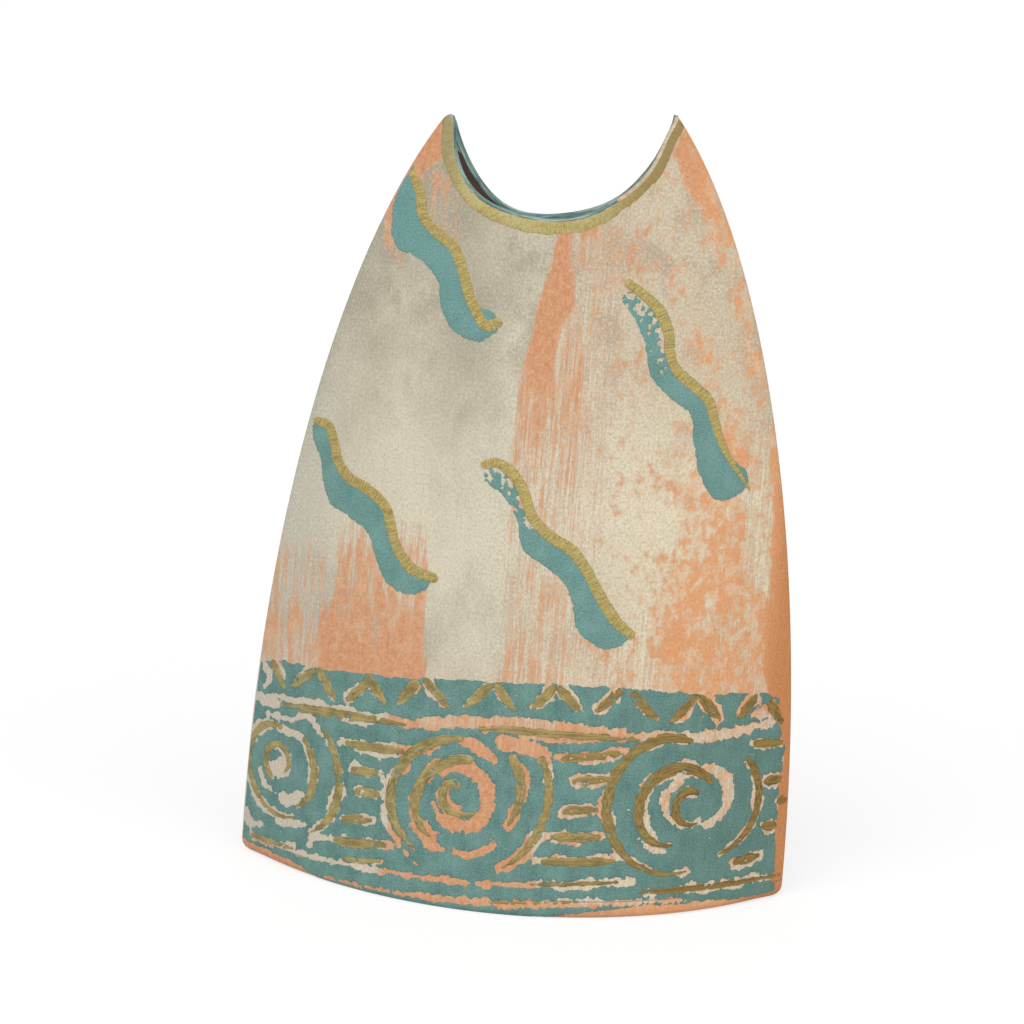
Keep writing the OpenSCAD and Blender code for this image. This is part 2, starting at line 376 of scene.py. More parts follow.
def clipped(values):
    """The part of a grid whose values are below zero, cut along the zero line.

    Gives the places of its points in grid steps, how far below zero each lies, its quads and its triangles.
    """
    flat = values.ravel()
    size = flat.size
    index = np.arange(size).reshape(values.shape)
    cells = np.stack([index[:-1, :-1], index[1:, :-1], index[1:, 1:], index[:-1, 1:]], -1).reshape(-1, 4)
    held = (flat[cells] < 0).sum(1)
    quads = cells[held == 4]
    cut = cells[(held > 0) & (held < 4)]
    triangles = np.concatenate([cut[:, [0, 1, 2]], cut[:, [0, 2, 3]]])
    inside = flat[triangles] < 0
    count = inside.sum(1)
    one = turned(triangles[count == 1], inside[count == 1])
    two = turned(triangles[count == 2], ~inside[count == 2])
    pairs = np.concatenate([one[:, [0, 1]], one[:, [0, 2]], two[:, [0, 1]], two[:, [0, 2]]])
    pairs.sort(axis=1)
    edges, number = np.unique(pairs[:, 0] * size + pairs[:, 1], return_inverse=True)
    start = edges // size
    end = edges % size
    share = flat[start] / (flat[start] - flat[end])
    crossing = size + number
    a, b = len(one), len(two)
    small = np.stack([one[:, 0], crossing[:a], crossing[a:2 * a]], 1)
    large = np.stack([crossing[2 * a:2 * a + b], two[:, 1], two[:, 2], crossing[2 * a + b:]], 1)
    corner = np.stack(np.unravel_index(np.arange(size), values.shape), 1).astype(float)
    between = corner[start] + (corner[end] - corner[start]) * share[:, None]
    places = np.concatenate([corner, between])
    deep = np.concatenate([-flat, np.zeros(len(edges))])
    quads = np.concatenate([quads, large])
    triangles = np.concatenate([triangles[count == 3], small])
    used, renumbered = np.unique(np.concatenate([quads.ravel(), triangles.ravel()]), return_inverse=True)
    quads = renumbered[:quads.size].reshape(-1, 4)
    triangles = renumbered[quads.size:].reshape(-1, 3)
    return places[used], deep[used], quads, triangles


def closed_faces(count, quads, triangles):
    """Faces of a sheet, its copy underneath and the strip round its edge."""
    steps = [np.stack([f[:, k], f[:, (k + 1) % f.shape[1]]], 1) for f in (quads, triangles)
             for k in range(f.shape[1])]
    steps = np.concatenate(steps)
    alone = ~np.isin(steps[:, 0] * count + steps[:, 1], steps[:, 1] * count + steps[:, 0])
    rim = steps[alone]
    sides = np.stack([rim[:, 1], rim[:, 0], rim[:, 0] + count, rim[:, 1] + count], 1)
    faces = [quads, triangles, quads[:, ::-1] + count, triangles[:, ::-1] + count, sides]
    return [face for group in faces for face in group.tolist()]


def coat(name, place, values, low, step, thickness, material, base=0.0, along=None):
    """A thin closed layer on a surface where values on a grid are below zero, thinner towards its edge."""
    places, deep, quads, triangles = clipped(values)
    a = low[0] + step * places[:, 0]
    b = low[1] + step * places[:, 1]
    square = normals(place, a, b)
    ground = place(a, b)
    lift = base + thickness * (COAT_EDGE_SHARE + (1 - COAT_EDGE_SHARE) * smooth(0, COAT_EDGE, deep))
    top = ground + square * lift[:, None]
    bottom = ground - square * COAT_SINK
    piece = new_mesh(name, np.concatenate([top, bottom]), closed_faces(len(a), quads, triangles), [material])
    give(piece, "flat", "FLOAT_VECTOR", np.tile(np.stack([a, b, 0 * a], 1), (2, 1)))
    give(piece, "along", "FLOAT", np.tile(along(a, b) if along else a, 2))
    return piece


def face_grid(low, high, step=COAT_STEP):
    s = np.arange(low[0], high[0], step)
    z = np.arange(low[1], high[1], step)
    return np.meshgrid(s, z, indexing="ij")


# Brush strokes on the unrolled face

# Length over which a brush presses harder and softer
PRESS_LENGTH = 7.0


def curve(points, per_span=10):
    """A smooth path through points."""
    p = np.array(points, float)
    p = np.concatenate([2 * p[:1] - p[1:2], p, 2 * p[-1:] - p[-2:-1]])
    t = np.arange(per_span)[:, None] / per_span
    spans = []
    for k in range(1, len(p) - 2):
        before, start, end, after = p[k - 1:k + 3]
        bend = 2 * before - 5 * start + 4 * end - after
        turn = 3 * start - before - 3 * end + after
        spans.append(0.5 * (2 * start + (end - before) * t + bend * t ** 2 + turn * t ** 3))
    return np.concatenate(spans + [p[-2:-1]])


def arc(middle, radii, angles):
    """A path round a point, from one radius and angle in degrees to another."""
    count = max(6, int(abs(angles[1] - angles[0]) / 8))
    t = np.linspace(0, 1, count)
    radius = radii[0] + (radii[1] - radii[0]) * t
    angle = np.radians(angles[0] + (angles[1] - angles[0]) * t)
    return np.stack([middle[0] + radius * np.cos(angle), middle[1] + radius * np.sin(angle)], 1)


def path_length(path):
    """Length of a path up to each of its points."""
    return np.concatenate([[0], np.cumsum(np.linalg.norm(np.diff(path, axis=0), axis=1))])


def along_path(s, z, path):
    """Length along a path up to its point nearest to each place."""
    away = (s[:, None] - path[:, 0]) ** 2 + (z[:, None] - path[:, 1]) ** 2
    return path_length(path)[away.argmin(1)]


def brushed(path, width, start=0.6, end=0.12, uneven=0.35, fade=0.4):
    """A stroke: its path and its half width at each point, uneven and narrower at its ends."""
    t = np.linspace(0, 1, len(path))
    press = 1 + uneven * rough(path_length(path) / PRESS_LENGTH, path[0, 0] + 0 * t, 1)
    rise = start + (1 - start) * np.clip(t / 0.18, 0, 1) ** 0.6
    fall = end + (1 - end) * np.clip((1 - t) / fade, 0, 1) ** 0.7
    return path, width / 2 * press * np.minimum(rise, fall)


def sideways(path):
    """Directions square to a path, on its left."""
    step = unit(np.gradient(path, axis=0))
    return np.stack([-step[:, 1], step[:, 0]], 1)


def margin(stroke, side, width, seed):
    """A broken line of bare ground along one side of a stroke."""
    path, half = stroke
    share = noise(path_length(path) / PRESS_LENGTH, 0 * half, seed)
    return path + sideways(path) * (side * half)[:, None], width * (share - 0.42)


def off_stretch(p, start, end):
    """Distance of points from a straight stretch, and the share of it where each one is nearest."""
    step = end - start
    t = np.clip((p - start) @ step / max(step @ step, TINY), 0, 1)
    away = p - start - t[:, None] * step
    return np.hypot(away[:, 0], away[:, 1]), t


def stroke_distance(s, z, strokes):
    """Distance of each point outside the nearest stroke, at most 9 mm, and below zero inside it."""
    far = 9.0
    found = np.full(s.shape, far)
    flat_s = s.ravel()
    flat_z = z.ravel()
    best = found.ravel()
    for path, half in strokes:
        reach = far + np.abs(half).max()
        low = path.min(0) - reach
        high = path.max(0) + reach
        near = np.nonzero((flat_s > low[0]) & (flat_s < high[0]) & (flat_z > low[1]) & (flat_z < high[1]))[0]
        p = np.stack([flat_s[near], flat_z[near]], 1)
        closest = best[near]
        for k in range(len(path) - 1):
            distance, t = off_stretch(p, path[k], path[k + 1])
            closest = np.minimum(closest, distance - (half[k] + (half[k + 1] - half[k]) * t))
        best[near] = closest
    return best.reshape(s.shape)


def outline_distance(s, z, outline):
    """Distance of each point outside a closed outline, below zero inside it."""
    p = np.stack([s.ravel(), z.ravel()], 1)
    best = np.full(len(p), np.inf)
    inside = np.zeros(len(p), bool)
    for start, end in zip(outline, np.roll(outline, -1, axis=0)):
        step = end - start
        best = np.minimum(best, off_stretch(p, start, end)[0])
        spans = (start[1] > p[:, 1]) != (end[1] > p[:, 1])
        rise = step[1] if abs(step[1]) > TINY else TINY
        inside ^= spans & (p[:, 0] < start[0] + step[0] * (p[:, 1] - start[1]) / rise)
    return np.where(inside, -best, best).reshape(s.shape)


# Wavy strokes: the middle of the gold line, the end of the teal's near side where it leaves that line, the
# teal's far side, the heights between which the brush ran dry with how far from the gold, and how wide the
# gold line still is at its end with the share of its length that narrows
WAVES = (
    {
        "gold": ((-53, 252), (-50, 246), (-48, 238), (-43, 233), (-36, 228), (-32, 220), (-29, 212),
                 (-23, 203), (-18.5, 204)),
        "apart": ((-25, 209), (-20.5, 207.4), (-17.8, 204.6)),
        "teal": ((-52.7, 256), (-57, 248), (-59.3, 240), (-59.2, 231), (-56.5, 226), (-51.4, 224.3),
                 (-46, 221.5), (-41, 217), (-39, 208), (-34, 200), (-26, 197), (-20, 199.5), (-18, 203)),
        "dry": None,
        "tail": (0.9, 0.1),
    },
    {
        "gold": ((26, 221), (33.5, 216), (38.5, 211), (41.5, 204.5), (42.5, 198), (45.5, 192), (52, 187),
                 (58, 182), (61, 175), (64, 168), (69, 160.5), (77, 151)),
        "apart": ((69, 161.5), (74.5, 158), (76, 154.5)),
        "teal": ((24, 215), (29.5, 208), (33.5, 201), (36, 191), (43, 183), (52, 177), (54, 167), (57, 157),
                 (63, 148), (68.5, 147.5), (73, 149.5), (76, 152.5)),
        "dry": (180, 203, 9),
        "tail": (0.12, 0.3),
    },
    {
        "gold": ((-84, 162), (-79, 161), (-76, 155), (-74, 149), (-69, 144), (-61, 141), (-54, 136),
                 (-51, 129), (-48, 122), (-42, 116), (-34, 114)),
        "apart": None,
        "teal": ((-86, 160), (-85, 155), (-82, 150), (-80, 142), (-76, 134), (-67, 130), (-60, 126),
                 (-56, 117), (-50, 109), (-42, 107), (-36, 110)),
        "dry": None,
        "tail": (0.85, 0.1),
    },
    {
        "gold": ((-19, 155), (-14, 156), (-8, 152), (-4, 146), (-1, 139), (5, 133), (14, 128), (20, 121),
                 (25, 113), (31, 105), (37, 100)),
        "apart": None,
        "teal": ((-19, 150), (-13, 146), (-8, 141), (-5, 134), (-3, 127), (5, 122), (12, 117), (16, 109),
                 (18, 101), (27, 95), (34, 96), (38, 100)),
        "dry": (124, 148, 8),
        "tail": (0.8, 0.1),
    },
)
WAVE_GOLD = 3.8
# How many points before the gold line's end the teal leaves it
APART_POINTS = 2

# Arcs of the three spirals: middle, start and end radius, start and end angle, brush width
SPIRALS = {
    "left": (
        ((-93, 38), (7.5, 4.5), (-121, -410), 2.8),
        ((-91, 33), (18.5, 12), (58, -49), 3.0),
        ((-93.5, 37.5), (13, 20), (87, 300), 2.6),
        ((-88, 29), (29, 17.5), (57, -46), 3.3),
    ),
    "middle": (
        ((-23, 31), (29, 15.5), (83, 228), 3.9),
        ((-20, 31), (22.5, 10), (78, 222), 3.7),
        ((-19, 41), (3, 9), (90, 322), 3.0),
        ((-16, 52), (15, 25.5), (12, -53), 3.6),
        ((-16, 44), (28, 31), (24, -62), 3.4),
    ),
    "right": (
        ((58, 43), (20, 28.5), (76, 286), 3.6),
        ((59, 37), (17, 11.5), (39, 270), 4.0),
        ((65.5, 39.5), (4.5, 7.5), (63, 295), 3.2),
        ((76, 39), (19, 18.5), (52, -79), 3.1),
    ),
}
# Arcs of bare ground left between the spirals' strokes, in the same form
BARE_ARCS = (
    ((70.5, 41.5), (11, 9.5), (94, -95), 4.6),
    ((63, 44), (4, 11.5), (116, 258), 4.0),
    ((53.5, 41.5), (15, 19), (-115, -76), 2.6),
    ((-18.5, 39), (11, 9.5), (129, -161), 5.4),
    ((-24, 32.5), (10.5, 12), (-134, -84), 3.6),
    ((-20, 29.5), (9, 16.5), (-81, -12), 3.6),
    ((-20, 38), (21, 20), (88, 45), 4.5),
    ((-93.5, 36.3), (1.2, 1.5), (60, -200), 6.5),
)
# Dashes: their two ends
DASHES = (
    ((-62, 51), (-41, 52.5)), ((-59, 42.5), (-50, 43)), ((-57, 35.3), (-49, 35.6)),
    ((-61.5, 24.5), (-51, 26)), ((-64.5, 16), (-44.5, 18.5)),
    ((17, 56), (37, 58.5)), ((21.5, 48.2), (33, 49.5)), ((19, 38), (30, 38.7)),
    ((15.5, 28.6), (31.5, 29)), ((13, 20), (37.5, 20.6)),
    ((90.5, 59.5), (103, 59)), ((97.5, 45), (104.5, 45.7)), ((105, 37), (108.5, 37.4)),
    ((99, 28.5), (105, 28)), ((87, 17), (98, 17.7)),
)
DASH_BRUSH = 3.1
# Share of a dash's length by which bare ground overruns it, and the width of bare margins beside the gold
DASH_OVERRUN = 0.12
BARE_MARGIN = 4.4
# Middles of the chevron strokes, which lean to and fro
CHEVRONS = (-95, -84, -72.5, -59, -52, -40.5, -29, -15, -5, 8, 17.5, 31, 44.5, 59, 70, 85, 98.5)
CHEVRON_RUN = 7.8
CHEVRON_RISE = 7.4
CHEVRON_BRUSH = 3.4
CHEVRON_DROP = 1.6
# Ruled lines of gold: their points and brush width
RULES = (
    (((-93, 58.6), (-74, 60.2), (-58, 61.3), (-40, 61.8)), 3.0),
    (((-13, 64), (0, 64.6), (12, 64.2), (29, 64), (44, 63)), 2.4),
    (((-107, 7.2), (-96, 7.8), (-84, 8.4)), 1.8),
    (((-61, 10.2), (-53, 11.3), (-45.5, 12.6)), 1.8),
    (((9, 11.8), (27, 12.6), (45, 13.4)), 1.5),
    (((48, 9.2), (69, 9.3), (90, 9.2), (111, 8.6)), 2.2),
    (((-6, 4.6), (10, 5.4), (30, 6.4)), 0.9),
)
# Bare lines beside the ruled ones: their points and width
BARE_LINES = (
    (((-100, 60.5), (-86, 61.5), (-70, 62.5), (-50, 63.4)), 2.2),
    (((-46, 62.5), (-34, 63), (-24, 65), (-12, 66), (4, 67), (20, 66.5), (40, 65), (56, 63)), 4.4),
    (((44, 64), (60, 63.6), (74, 64), (88, 65.5), (103, 67.5)), 4.2),
    (((-104, 6), (-84, 7.2), (-62, 8.6), (-32, 9.8), (-5, 10.6), (27, 13.6), (46, 14.6)), 1.9),
    (((-72, 1.9), (-56, 2.2), (-42, 2.6)), 1.4),
    (((-39, 2.6), (-20, 3.6), (5, 4.4), (29, 5.6), (50, 5.9), (67, 5.4)), 2.6),
    (((-48, 43), (-45.5, 38), (-45.5, 32), (-45, 27), (-41, 22), (-36.5, 17.5), (-32, 13.5)), 2.4),
    (((-103, 33), (-100.5, 28), (-94.5, 26)), 2.6),
    (((-91.5, 25), (-86, 25.5), (-80.5, 29.3)), 5.0),
    (((-107, 44.5), (-99, 49.3), (-91, 49.8), (-82, 48), (-78.3, 41.3), (-78, 34)), 3.0),
    (((-94, 16.4), (-86, 17), (-77, 18.7)), 3.2),
    (((-107, 58.8), (-99, 58.6), (-93, 58.6)), 4.6),
    (((-101, 53.6), (-88.5, 54.2), (-80.7, 57), (-75.6, 54), (-73.6, 51.5)), 2.4),
    (((-76, 11), (-74.6, 15.4), (-72, 15.6), (-68, 16)), 3.4),
    (((-111, 15.5), (-109, 11.5), (-101, 12.3)), 4.0),
    (((-104, 72), (-100, 67), (-103, 62)), 3.4),
    (((88, 70), (96, 71), (103, 66)), 4.0),
    (((-6, 60), (3, 59), (12, 57)), 6.0),
)

# Edges of the teal band on the unrolled face
BAND_TOP = ((-115, 70.5), (-101, 72.5), (-93, 74.3), (-73, 75.6), (-50, 77.3), (-26, 79.6), (9, 81.8),
            (36, 81.3), (65, 79), (92, 77.6), (100, 74.5))
BAND_LOW = ((-115, 4.5), (-80, 3.2), (-70, -1), (8, -1), (20, 1.2), (34, 3.4), (50, 4.4), (66, 4.4),
            (84, 3.6), (106, 2.4), (114, 2.5))
BAND_RIGHT = ((0, 111), (14, 107), (40, 104.5), (57, 105), (68, 99), (80, 99))

# Patches where the wash has worn off: softness of the left and right side, then rows of a height, the left
# and right side there and the strength
BARE_PATCHES = (
    (0.9, 2.0, ((146, -10.5, 0, 0.22), (163, -10.2, 1, 0.4), (176, -9.5, 2, 0.64), (182, -9, 2.5, 0.85),
                (190, -8.4, 3, 1.1), (200, -6.3, 3, 1.15), (205, -5.6, 4.5, 1.2), (213, -4.4, 8, 1.2),
                (226, -1.3, 5.8, 1.2), (236, 0.4, 5, 1.2), (241, 0.4, 8, 1.2))),
    (1.5, 2.5, ((112, -8, 13, 0.06), (150, -10, 14, 0.3), (165, -10, 15, 0.46), (183, -4, 15, 0.54),
                (194, 2, 13.5, 0.5), (204, 4, 11, 0.42), (216, 6, 10, 0.2))),
    (5.0, 0.7, ((74, -80, -33.6, 1.1), (86, -79, -34.5, 0.95), (95, -78, -35.5, 0.8), (102, -74, -35.8, 0.7),
                (110, -72, -36, 0.6), (118, -72, -36.5, 0.48), (127, -70, -37, 0.3), (136, -66, -37, 0.0))),
    (4.0, 6.0, ((72, -116, -76, 0.36), (86, -112, -76, 0.38), (96, -108, -76, 0.26), (124, -100, -70, 0.08))),
    (7.0, 4.0, ((70, 46, 104, 0.78), (82, 47, 100, 0.74), (92, 43.5, 98, 0.72), (103, 46.5, 95, 0.68),
                (111, 44, 92, 0.66), (117, 48, 84, 0.66), (124, 48.5, 80, 0.64), (135, 50, 80, 0.62),
                (145, 50, 76, 0.6), (155, 48, 72, 0.5), (165, 52, 72, 0.36), (185, 58, 76, 0.2))),
    (3.0, 1.5, ((108, 78, 90, 0.36), (125, 76, 89, 0.3), (150, 74, 87, 0.3), (185, 70, 82, 0.2))),
    (3.0, 4.0, ((155, 62, 80, 0.5), (166, 64, 76, 0.8), (176, 63, 74, 0.7), (184, 62, 72, 0.2))),
    (3.0, 3.0, ((188, 46, 62, 0.0), (196, 47, 62, 0.42), (202, 46, 60, 0.3), (210, 46, 58, 0.0))),
    (1.2, 1.2, ((150, 84, 99, 0.4), (162, 84.5, 99, 0.9), (184, 80, 99, 0.0))),
    (1.6, 1.2, ((0, 106.5, 130, 1.3), (18, 106, 130, 1.3), (40, 104, 130, 1.3), (57, 104.5, 130, 1.3),
                (68, 98, 130, 1.3), (86, 89.5, 130, 1.3), (109, 89.2, 130, 1.3), (131, 88.8, 130, 1.3),
                (146, 87.4, 130, 1.2), (162, 85.7, 130, 0.9))),
    (1.2, 1.0, ((250, -70, -49, 0.0), (253, -70, -49, 1.1), (259, -70, -42, 1.2), (282, -70, -38, 1.2))),
    (1.6, 2.0, ((222, 59, 75, 0.0), (236, 55, 70, 0.6), (246, 50, 70, 0.8), (256, 43, 70, 1.0),
                (266, 38.5, 70, 1.1), (282, 39, 70, 1.2))),
    (1.0, 1.5, ((232, 8, 16, 0.0), (236, 8.5, 15, 0.75), (242, 8, 14, 0.9))),
    (2.0, 1.6, ((182, 73, 80, 0.0), (194, 70, 78, 0.5), (210, 67, 75, 0.55), (226, 60, 70, 0.3),
                (236, 54, 66, 0.0))),
    (2.0, 4.0, ((196, 6, 24, 0.1), (214, 7, 26, 0.22), (228, 8, 34, 0.26), (240, 8, 30, 0.3))),
    (2.0, 2.0, ((226, -42, -34, 0.0), (231, -42, -34, 0.45), (240, -47, -35, 0.3), (250, -48, -37, 0.4),
                (256, -48, -40, 0.0))),
    (4.0, 4.0, ((66, -12, 50, 0.26), (82, -10, 52, 0.34), (98, -8, 44, 0.26), (118, -9, 6, 0.26),
                (136, -8, 2, 0.0))),
    (3.0, 3.0, ((5, -46, 14, 0.9), (30, -42, 6, 1.2), (52, -42, 8, 1.1), (62, -48, 44, 0.85),
                (68, -48, 44, 0.6), (74, -46, 30, 0.0))),
    (3.0, 3.0, ((-1, -200, 200, 1.2), (3.5, -200, 200, 1.0), (6.5, -200, 200, 0.2), (8, -200, 200, 0.0))),
    (2.0, 2.0, ((15, 12, 40, 0.4), (40, 12, 36, 0.5), (60, 14, 46, 0.5), (66, 14, 46, 0.0))),
    (6.0, 6.0, ((60, 96, 110, 0.35), (74, 92, 106, 0.5))),
    (4.0, 4.0, ((8, 44, 104, 0.1), (20, 46, 104, 0.22), (50, 46, 104, 0.26), (62, 46, 100, 0.4),
                (76, 46, 100, 0.4))),
    (2.0, 2.0, ((215, -58, -50, 0.0), (228, -62, -56, 0.45), (246, -64, -58, 0.5), (252, -62, -56, 0.0))),
)
FLECKS_LEFT = -0.3
FLECKS_RIGHT = 0.06


def bareness(s, z):
    """How much of the wash is missing: below 0 where it is thick, 1 where the clay is bare."""
    ground = FLECKS_LEFT + (FLECKS_RIGHT - FLECKS_LEFT) * smooth(-6, 12, s) * smooth(70, 100, z)
    worn = ground
    for soft_left, soft_right, rows in BARE_PATCHES:
        heights, lefts, rights, strengths = np.array(rows).T
        left = np.interp(z, heights, lefts)
        right = np.interp(z, heights, rights)
        strength = np.interp(z, heights, strengths, left=0, right=0)
        across = smooth(-soft_left, soft_left, s - left) * smooth(-soft_right, soft_right, right - s)
        worn = np.maximum(worn, ground + (strength - ground) * across * smooth(0, 0.2, strength))
    return worn


# Materials

def linear(red, green, blue):
    """A colour of 0 to 255 as linear light."""
    parts = [v / 255 for v in (red, green, blue)]
    return tuple(v / 12.92 if v <= 0.04045 else ((v + 0.055) / 1.055) ** 2.4 for v in parts) + (1.0,)


# The values between which a noise texture mostly lies
NOISE_SPAN = (0.28, 0.72)


class Graph:
    """A material whose nodes are added one call at a time."""

    def __init__(self, name):
        self.material = bpy.data.materials.new(name)
        self.material.use_nodes = True
        self.tree = self.material.node_tree
        self.shader = self.tree.nodes["Principled BSDF"]

    def add(self, kind, inputs=(), **settings):
        node = self.tree.nodes.new(kind)
        for name, value in settings.items():
            setattr(node, name, value)
        for key, value in dict(inputs).items():
            self.feed(node.inputs[key], value)
        return node

    def feed(self, socket, value):
        if isinstance(value, bpy.types.NodeSocket):
            self.tree.links.new(value, socket)
        else:
            socket.default_value = value

    def attribute(self, name, output):
        return self.add("ShaderNodeAttribute", attribute_name=name).outputs[output]

    def noise(self, place, scales, detail=3.0, roughness=0.55, shift=0.0):
        """Noise from 0 to 1 with this many bumps for each millimetre along and up the face."""
        moved = self.add("ShaderNodeVectorMath", {0: place, 1: (*scales, 1.0), 2: (shift, shift, shift)},
                         operation="MULTIPLY_ADD").outputs[0]
        made = self.add("ShaderNodeTexNoise", {"Vector": moved, "Scale": 1.0, "Detail": detail,
                                               "Roughness": roughness}).outputs["Fac"]
        return self.ramp(made, *NOISE_SPAN)

    def ramp(self, value, low, high, start=0.0, end=1.0):
        return self.add("ShaderNodeMapRange", {"Value": value, "From Min": low, "From Max": high,
                                               "To Min": start, "To Max": end},
                        interpolation_type="SMOOTHSTEP").outputs["Result"]

    def math(self, operation, *values):
        return self.add("ShaderNodeMath", enumerate(values), operation=operation).outputs[0]

    def times(self, first, second):
        return self.math("MULTIPLY", first, second)

    def total(self, *parts):
        """Sum of values, each times its weight."""
        made = 0.0
        for value, weight in parts:
            made = self.math("MULTIPLY_ADD", value, weight, made)
        return made

    def mix(self, share, first, second):
        """A blend of two colours, each made before or given as 0 to 255."""
        first, second = (linear(*c) if isinstance(c, tuple) else c for c in (first, second))
        return self.add("ShaderNodeMix", {0: share, 6: first, 7: second}, data_type="RGBA").outputs[2]

    def tint(self, colour, tone, value, low, high, start=0, end=1):
        """A colour that turns to a tone while a value goes from low to high."""
        return self.mix(self.ramp(value, low, high, start, end), colour, tone)

    def value_mix(self, share, first, second):
        return self.add("ShaderNodeMix", {0: share, 2: first, 3: second}, data_type="FLOAT").outputs[0]

    def bump(self, height, depth, strength=1.0):
        node = self.add("ShaderNodeBump", {"Height": height, "Distance": depth * MM, "Strength": strength})
        self.feed(self.shader.inputs["Normal"], node.outputs["Normal"])

    def surface(self, colour, roughness, metallic=0.0):
        self.feed(self.shader.inputs["Base Color"], colour)
        self.feed(self.shader.inputs["Roughness"], roughness)
        self.feed(self.shader.inputs["Metallic"], metallic)
        return self.material


def wash_material():
    """Grey-beige wash brushed down over orange clay, which shows through where the wash is worn."""
    g = Graph("brushed_wash")
    flat = g.attribute("flat", "Vector")
    bare = g.attribute("bare", "Fac")
    place = g.add("ShaderNodeSeparateXYZ", {0: flat})
    across = place.outputs[0]
    height = place.outputs[1]
    broad = g.noise(flat, (0.33, 0.04), detail=6, roughness=0.66)
    narrow = g.noise(flat, (1.15, 0.04), detail=3, roughness=0.6, shift=23)
    spots = g.noise(flat, (0.3, 0.2), detail=6, roughness=0.68, shift=7)
    groups = g.noise(flat, (0.08, 0.055), detail=3, shift=29)
    flecks = g.noise(flat, (0.6, 0.4), detail=4, roughness=0.65, shift=19)
    scratches = g.noise(flat, (1.7, 0.05), detail=2, shift=13)
    grain = g.noise(flat, (1.15, 0.95), detail=4, roughness=0.72, shift=3)
    dust = g.noise(flat, (0.16, 0.1), detail=7, roughness=0.68, shift=31)
    clouds = g.noise(flat, (0.026, 0.02), detail=4, shift=11)
    smudges = g.noise(flat, (0.075, 0.05), detail=6, roughness=0.62, shift=17)

    speckled = g.ramp(across, 9, 26)
    fineness = g.ramp(across, -26, -12)
    streaks = g.ramp(g.value_mix(g.ramp(fineness, 0, 1, 0.12, 0.5), broad, narrow), 0.15, 0.85)
    mottle = g.value_mix(speckled, streaks, spots)
    brushed_level = g.total((bare, 1), (streaks, 0.75), (flecks, 0.45), (grain, 0.4), (0.5, -1.6))
    spotted_level = g.total((bare, 1), (spots, 1.05), (groups, 0.6), (flecks, 0.3), (grain, 0.35),
                            (0.5, -2.3))
    level = g.value_mix(speckled, brushed_level, spotted_level)
    crisp = g.ramp(level, 0.4, 0.62)
    soft = g.ramp(g.total((level, 1), (grain, 0.35), (0.35, -0.5)), 0.08, 0.95)
    worn = g.value_mix(0.38, crisp, soft)
    fine = g.total((narrow, 0.55), (grain, 0.25), (flecks, 0.2))
    thin = g.ramp(g.total((bare, 1), (fine, 1.3), (0.5, -1.3)), 0.24, 0.74)
    sheer = g.times(fineness, g.total((speckled, -0.3), (0.55, 1)))
    worn = g.math("MAXIMUM", worn, g.times(thin, sheer))

    # Lightness of the wash: random clouds and smudges, painted shade that darkens the upper left, and darker
    # from 140 mm down towards the band
    upper_left_painted_shade = g.times(g.ramp(height, 130, 250), g.ramp(across, 20, -45))
    low = g.ramp(height, 140, 85)
    light = g.total((clouds, 0.46), (smudges, 0.28), (upper_left_painted_shade, -0.66), (low, -0.32), (0.53, 1))
    pale = g.mix(g.ramp(light, 0.15, 0.95), (171, 164, 142), (221, 212, 188))
    # Lighter towards the right, most of all lower down: partly the wash's own warmer tone, partly painted
    # light
    right_tone_and_painted_light = g.mix(g.ramp(height, 140, 205), (237, 224, 192), (205, 190, 160))
    pale = g.mix(g.ramp(across, -20, 60, 0, 0.75), pale, right_tone_and_painted_light)
    # Greyer and darker towards the left seam: painted shade where the face turns away
    pale = g.tint(pale, (178, 179, 168), across, -62, -88, 0, 0.5)
    pale = g.tint(pale, (222, 204, 184), height, 90, 76, 0, 0.5)
    upper = g.ramp(height, 130, 225)
    smudge = g.mix(g.ramp(across, -15, 20), (166, 159, 138), (182, 160, 137))
    pale = g.mix(g.times(g.ramp(smudges, 0.42, 0.9, 0, 0.75), upper), pale, smudge)
    spread_out = g.times(g.ramp(across, 20, 34), g.ramp(across, 78, 66))
    smeared = g.times(spread_out, g.ramp(height, 98, 120))
    lined = g.ramp(smeared, 0, 1, 1, 0.15)
    scratches = g.times(scratches, lined)
    scraped = g.times(g.ramp(scratches, 0.4, 0.85), g.ramp(bare, -0.1, 0.15, 0.05, 0.48))
    pale = g.mix(scraped, pale, (188, 150, 124))
    stained = g.times(g.ramp(level, -0.05, 0.5, 0, 0.6), g.ramp(smudges, 0.2, 0.8, 0.25, 1))
    pale = g.mix(g.times(stained, g.ramp(bare, -0.2, 0.05, 0.1, 1)), pale, (212, 172, 138))
    hollows = g.mix(g.ramp(across, -5, 25), (146, 138, 115), (180, 154, 120))
    grainy = g.ramp(across, -30, 20, 0.55, 1)
    pale = g.mix(g.times(g.ramp(grain, 0, 0.6, 0.55, 0), grainy), pale, hollows)
    pale = g.mix(g.times(g.ramp(grain, 0.5, 1, 0, 0.5), grainy), pale, (236, 229, 207))

    clay = g.mix(flecks, (204, 142, 98), (224, 168, 128))
    clay = g.tint(clay, (236, 168, 114), across, 30, 60, 0, 0.7)
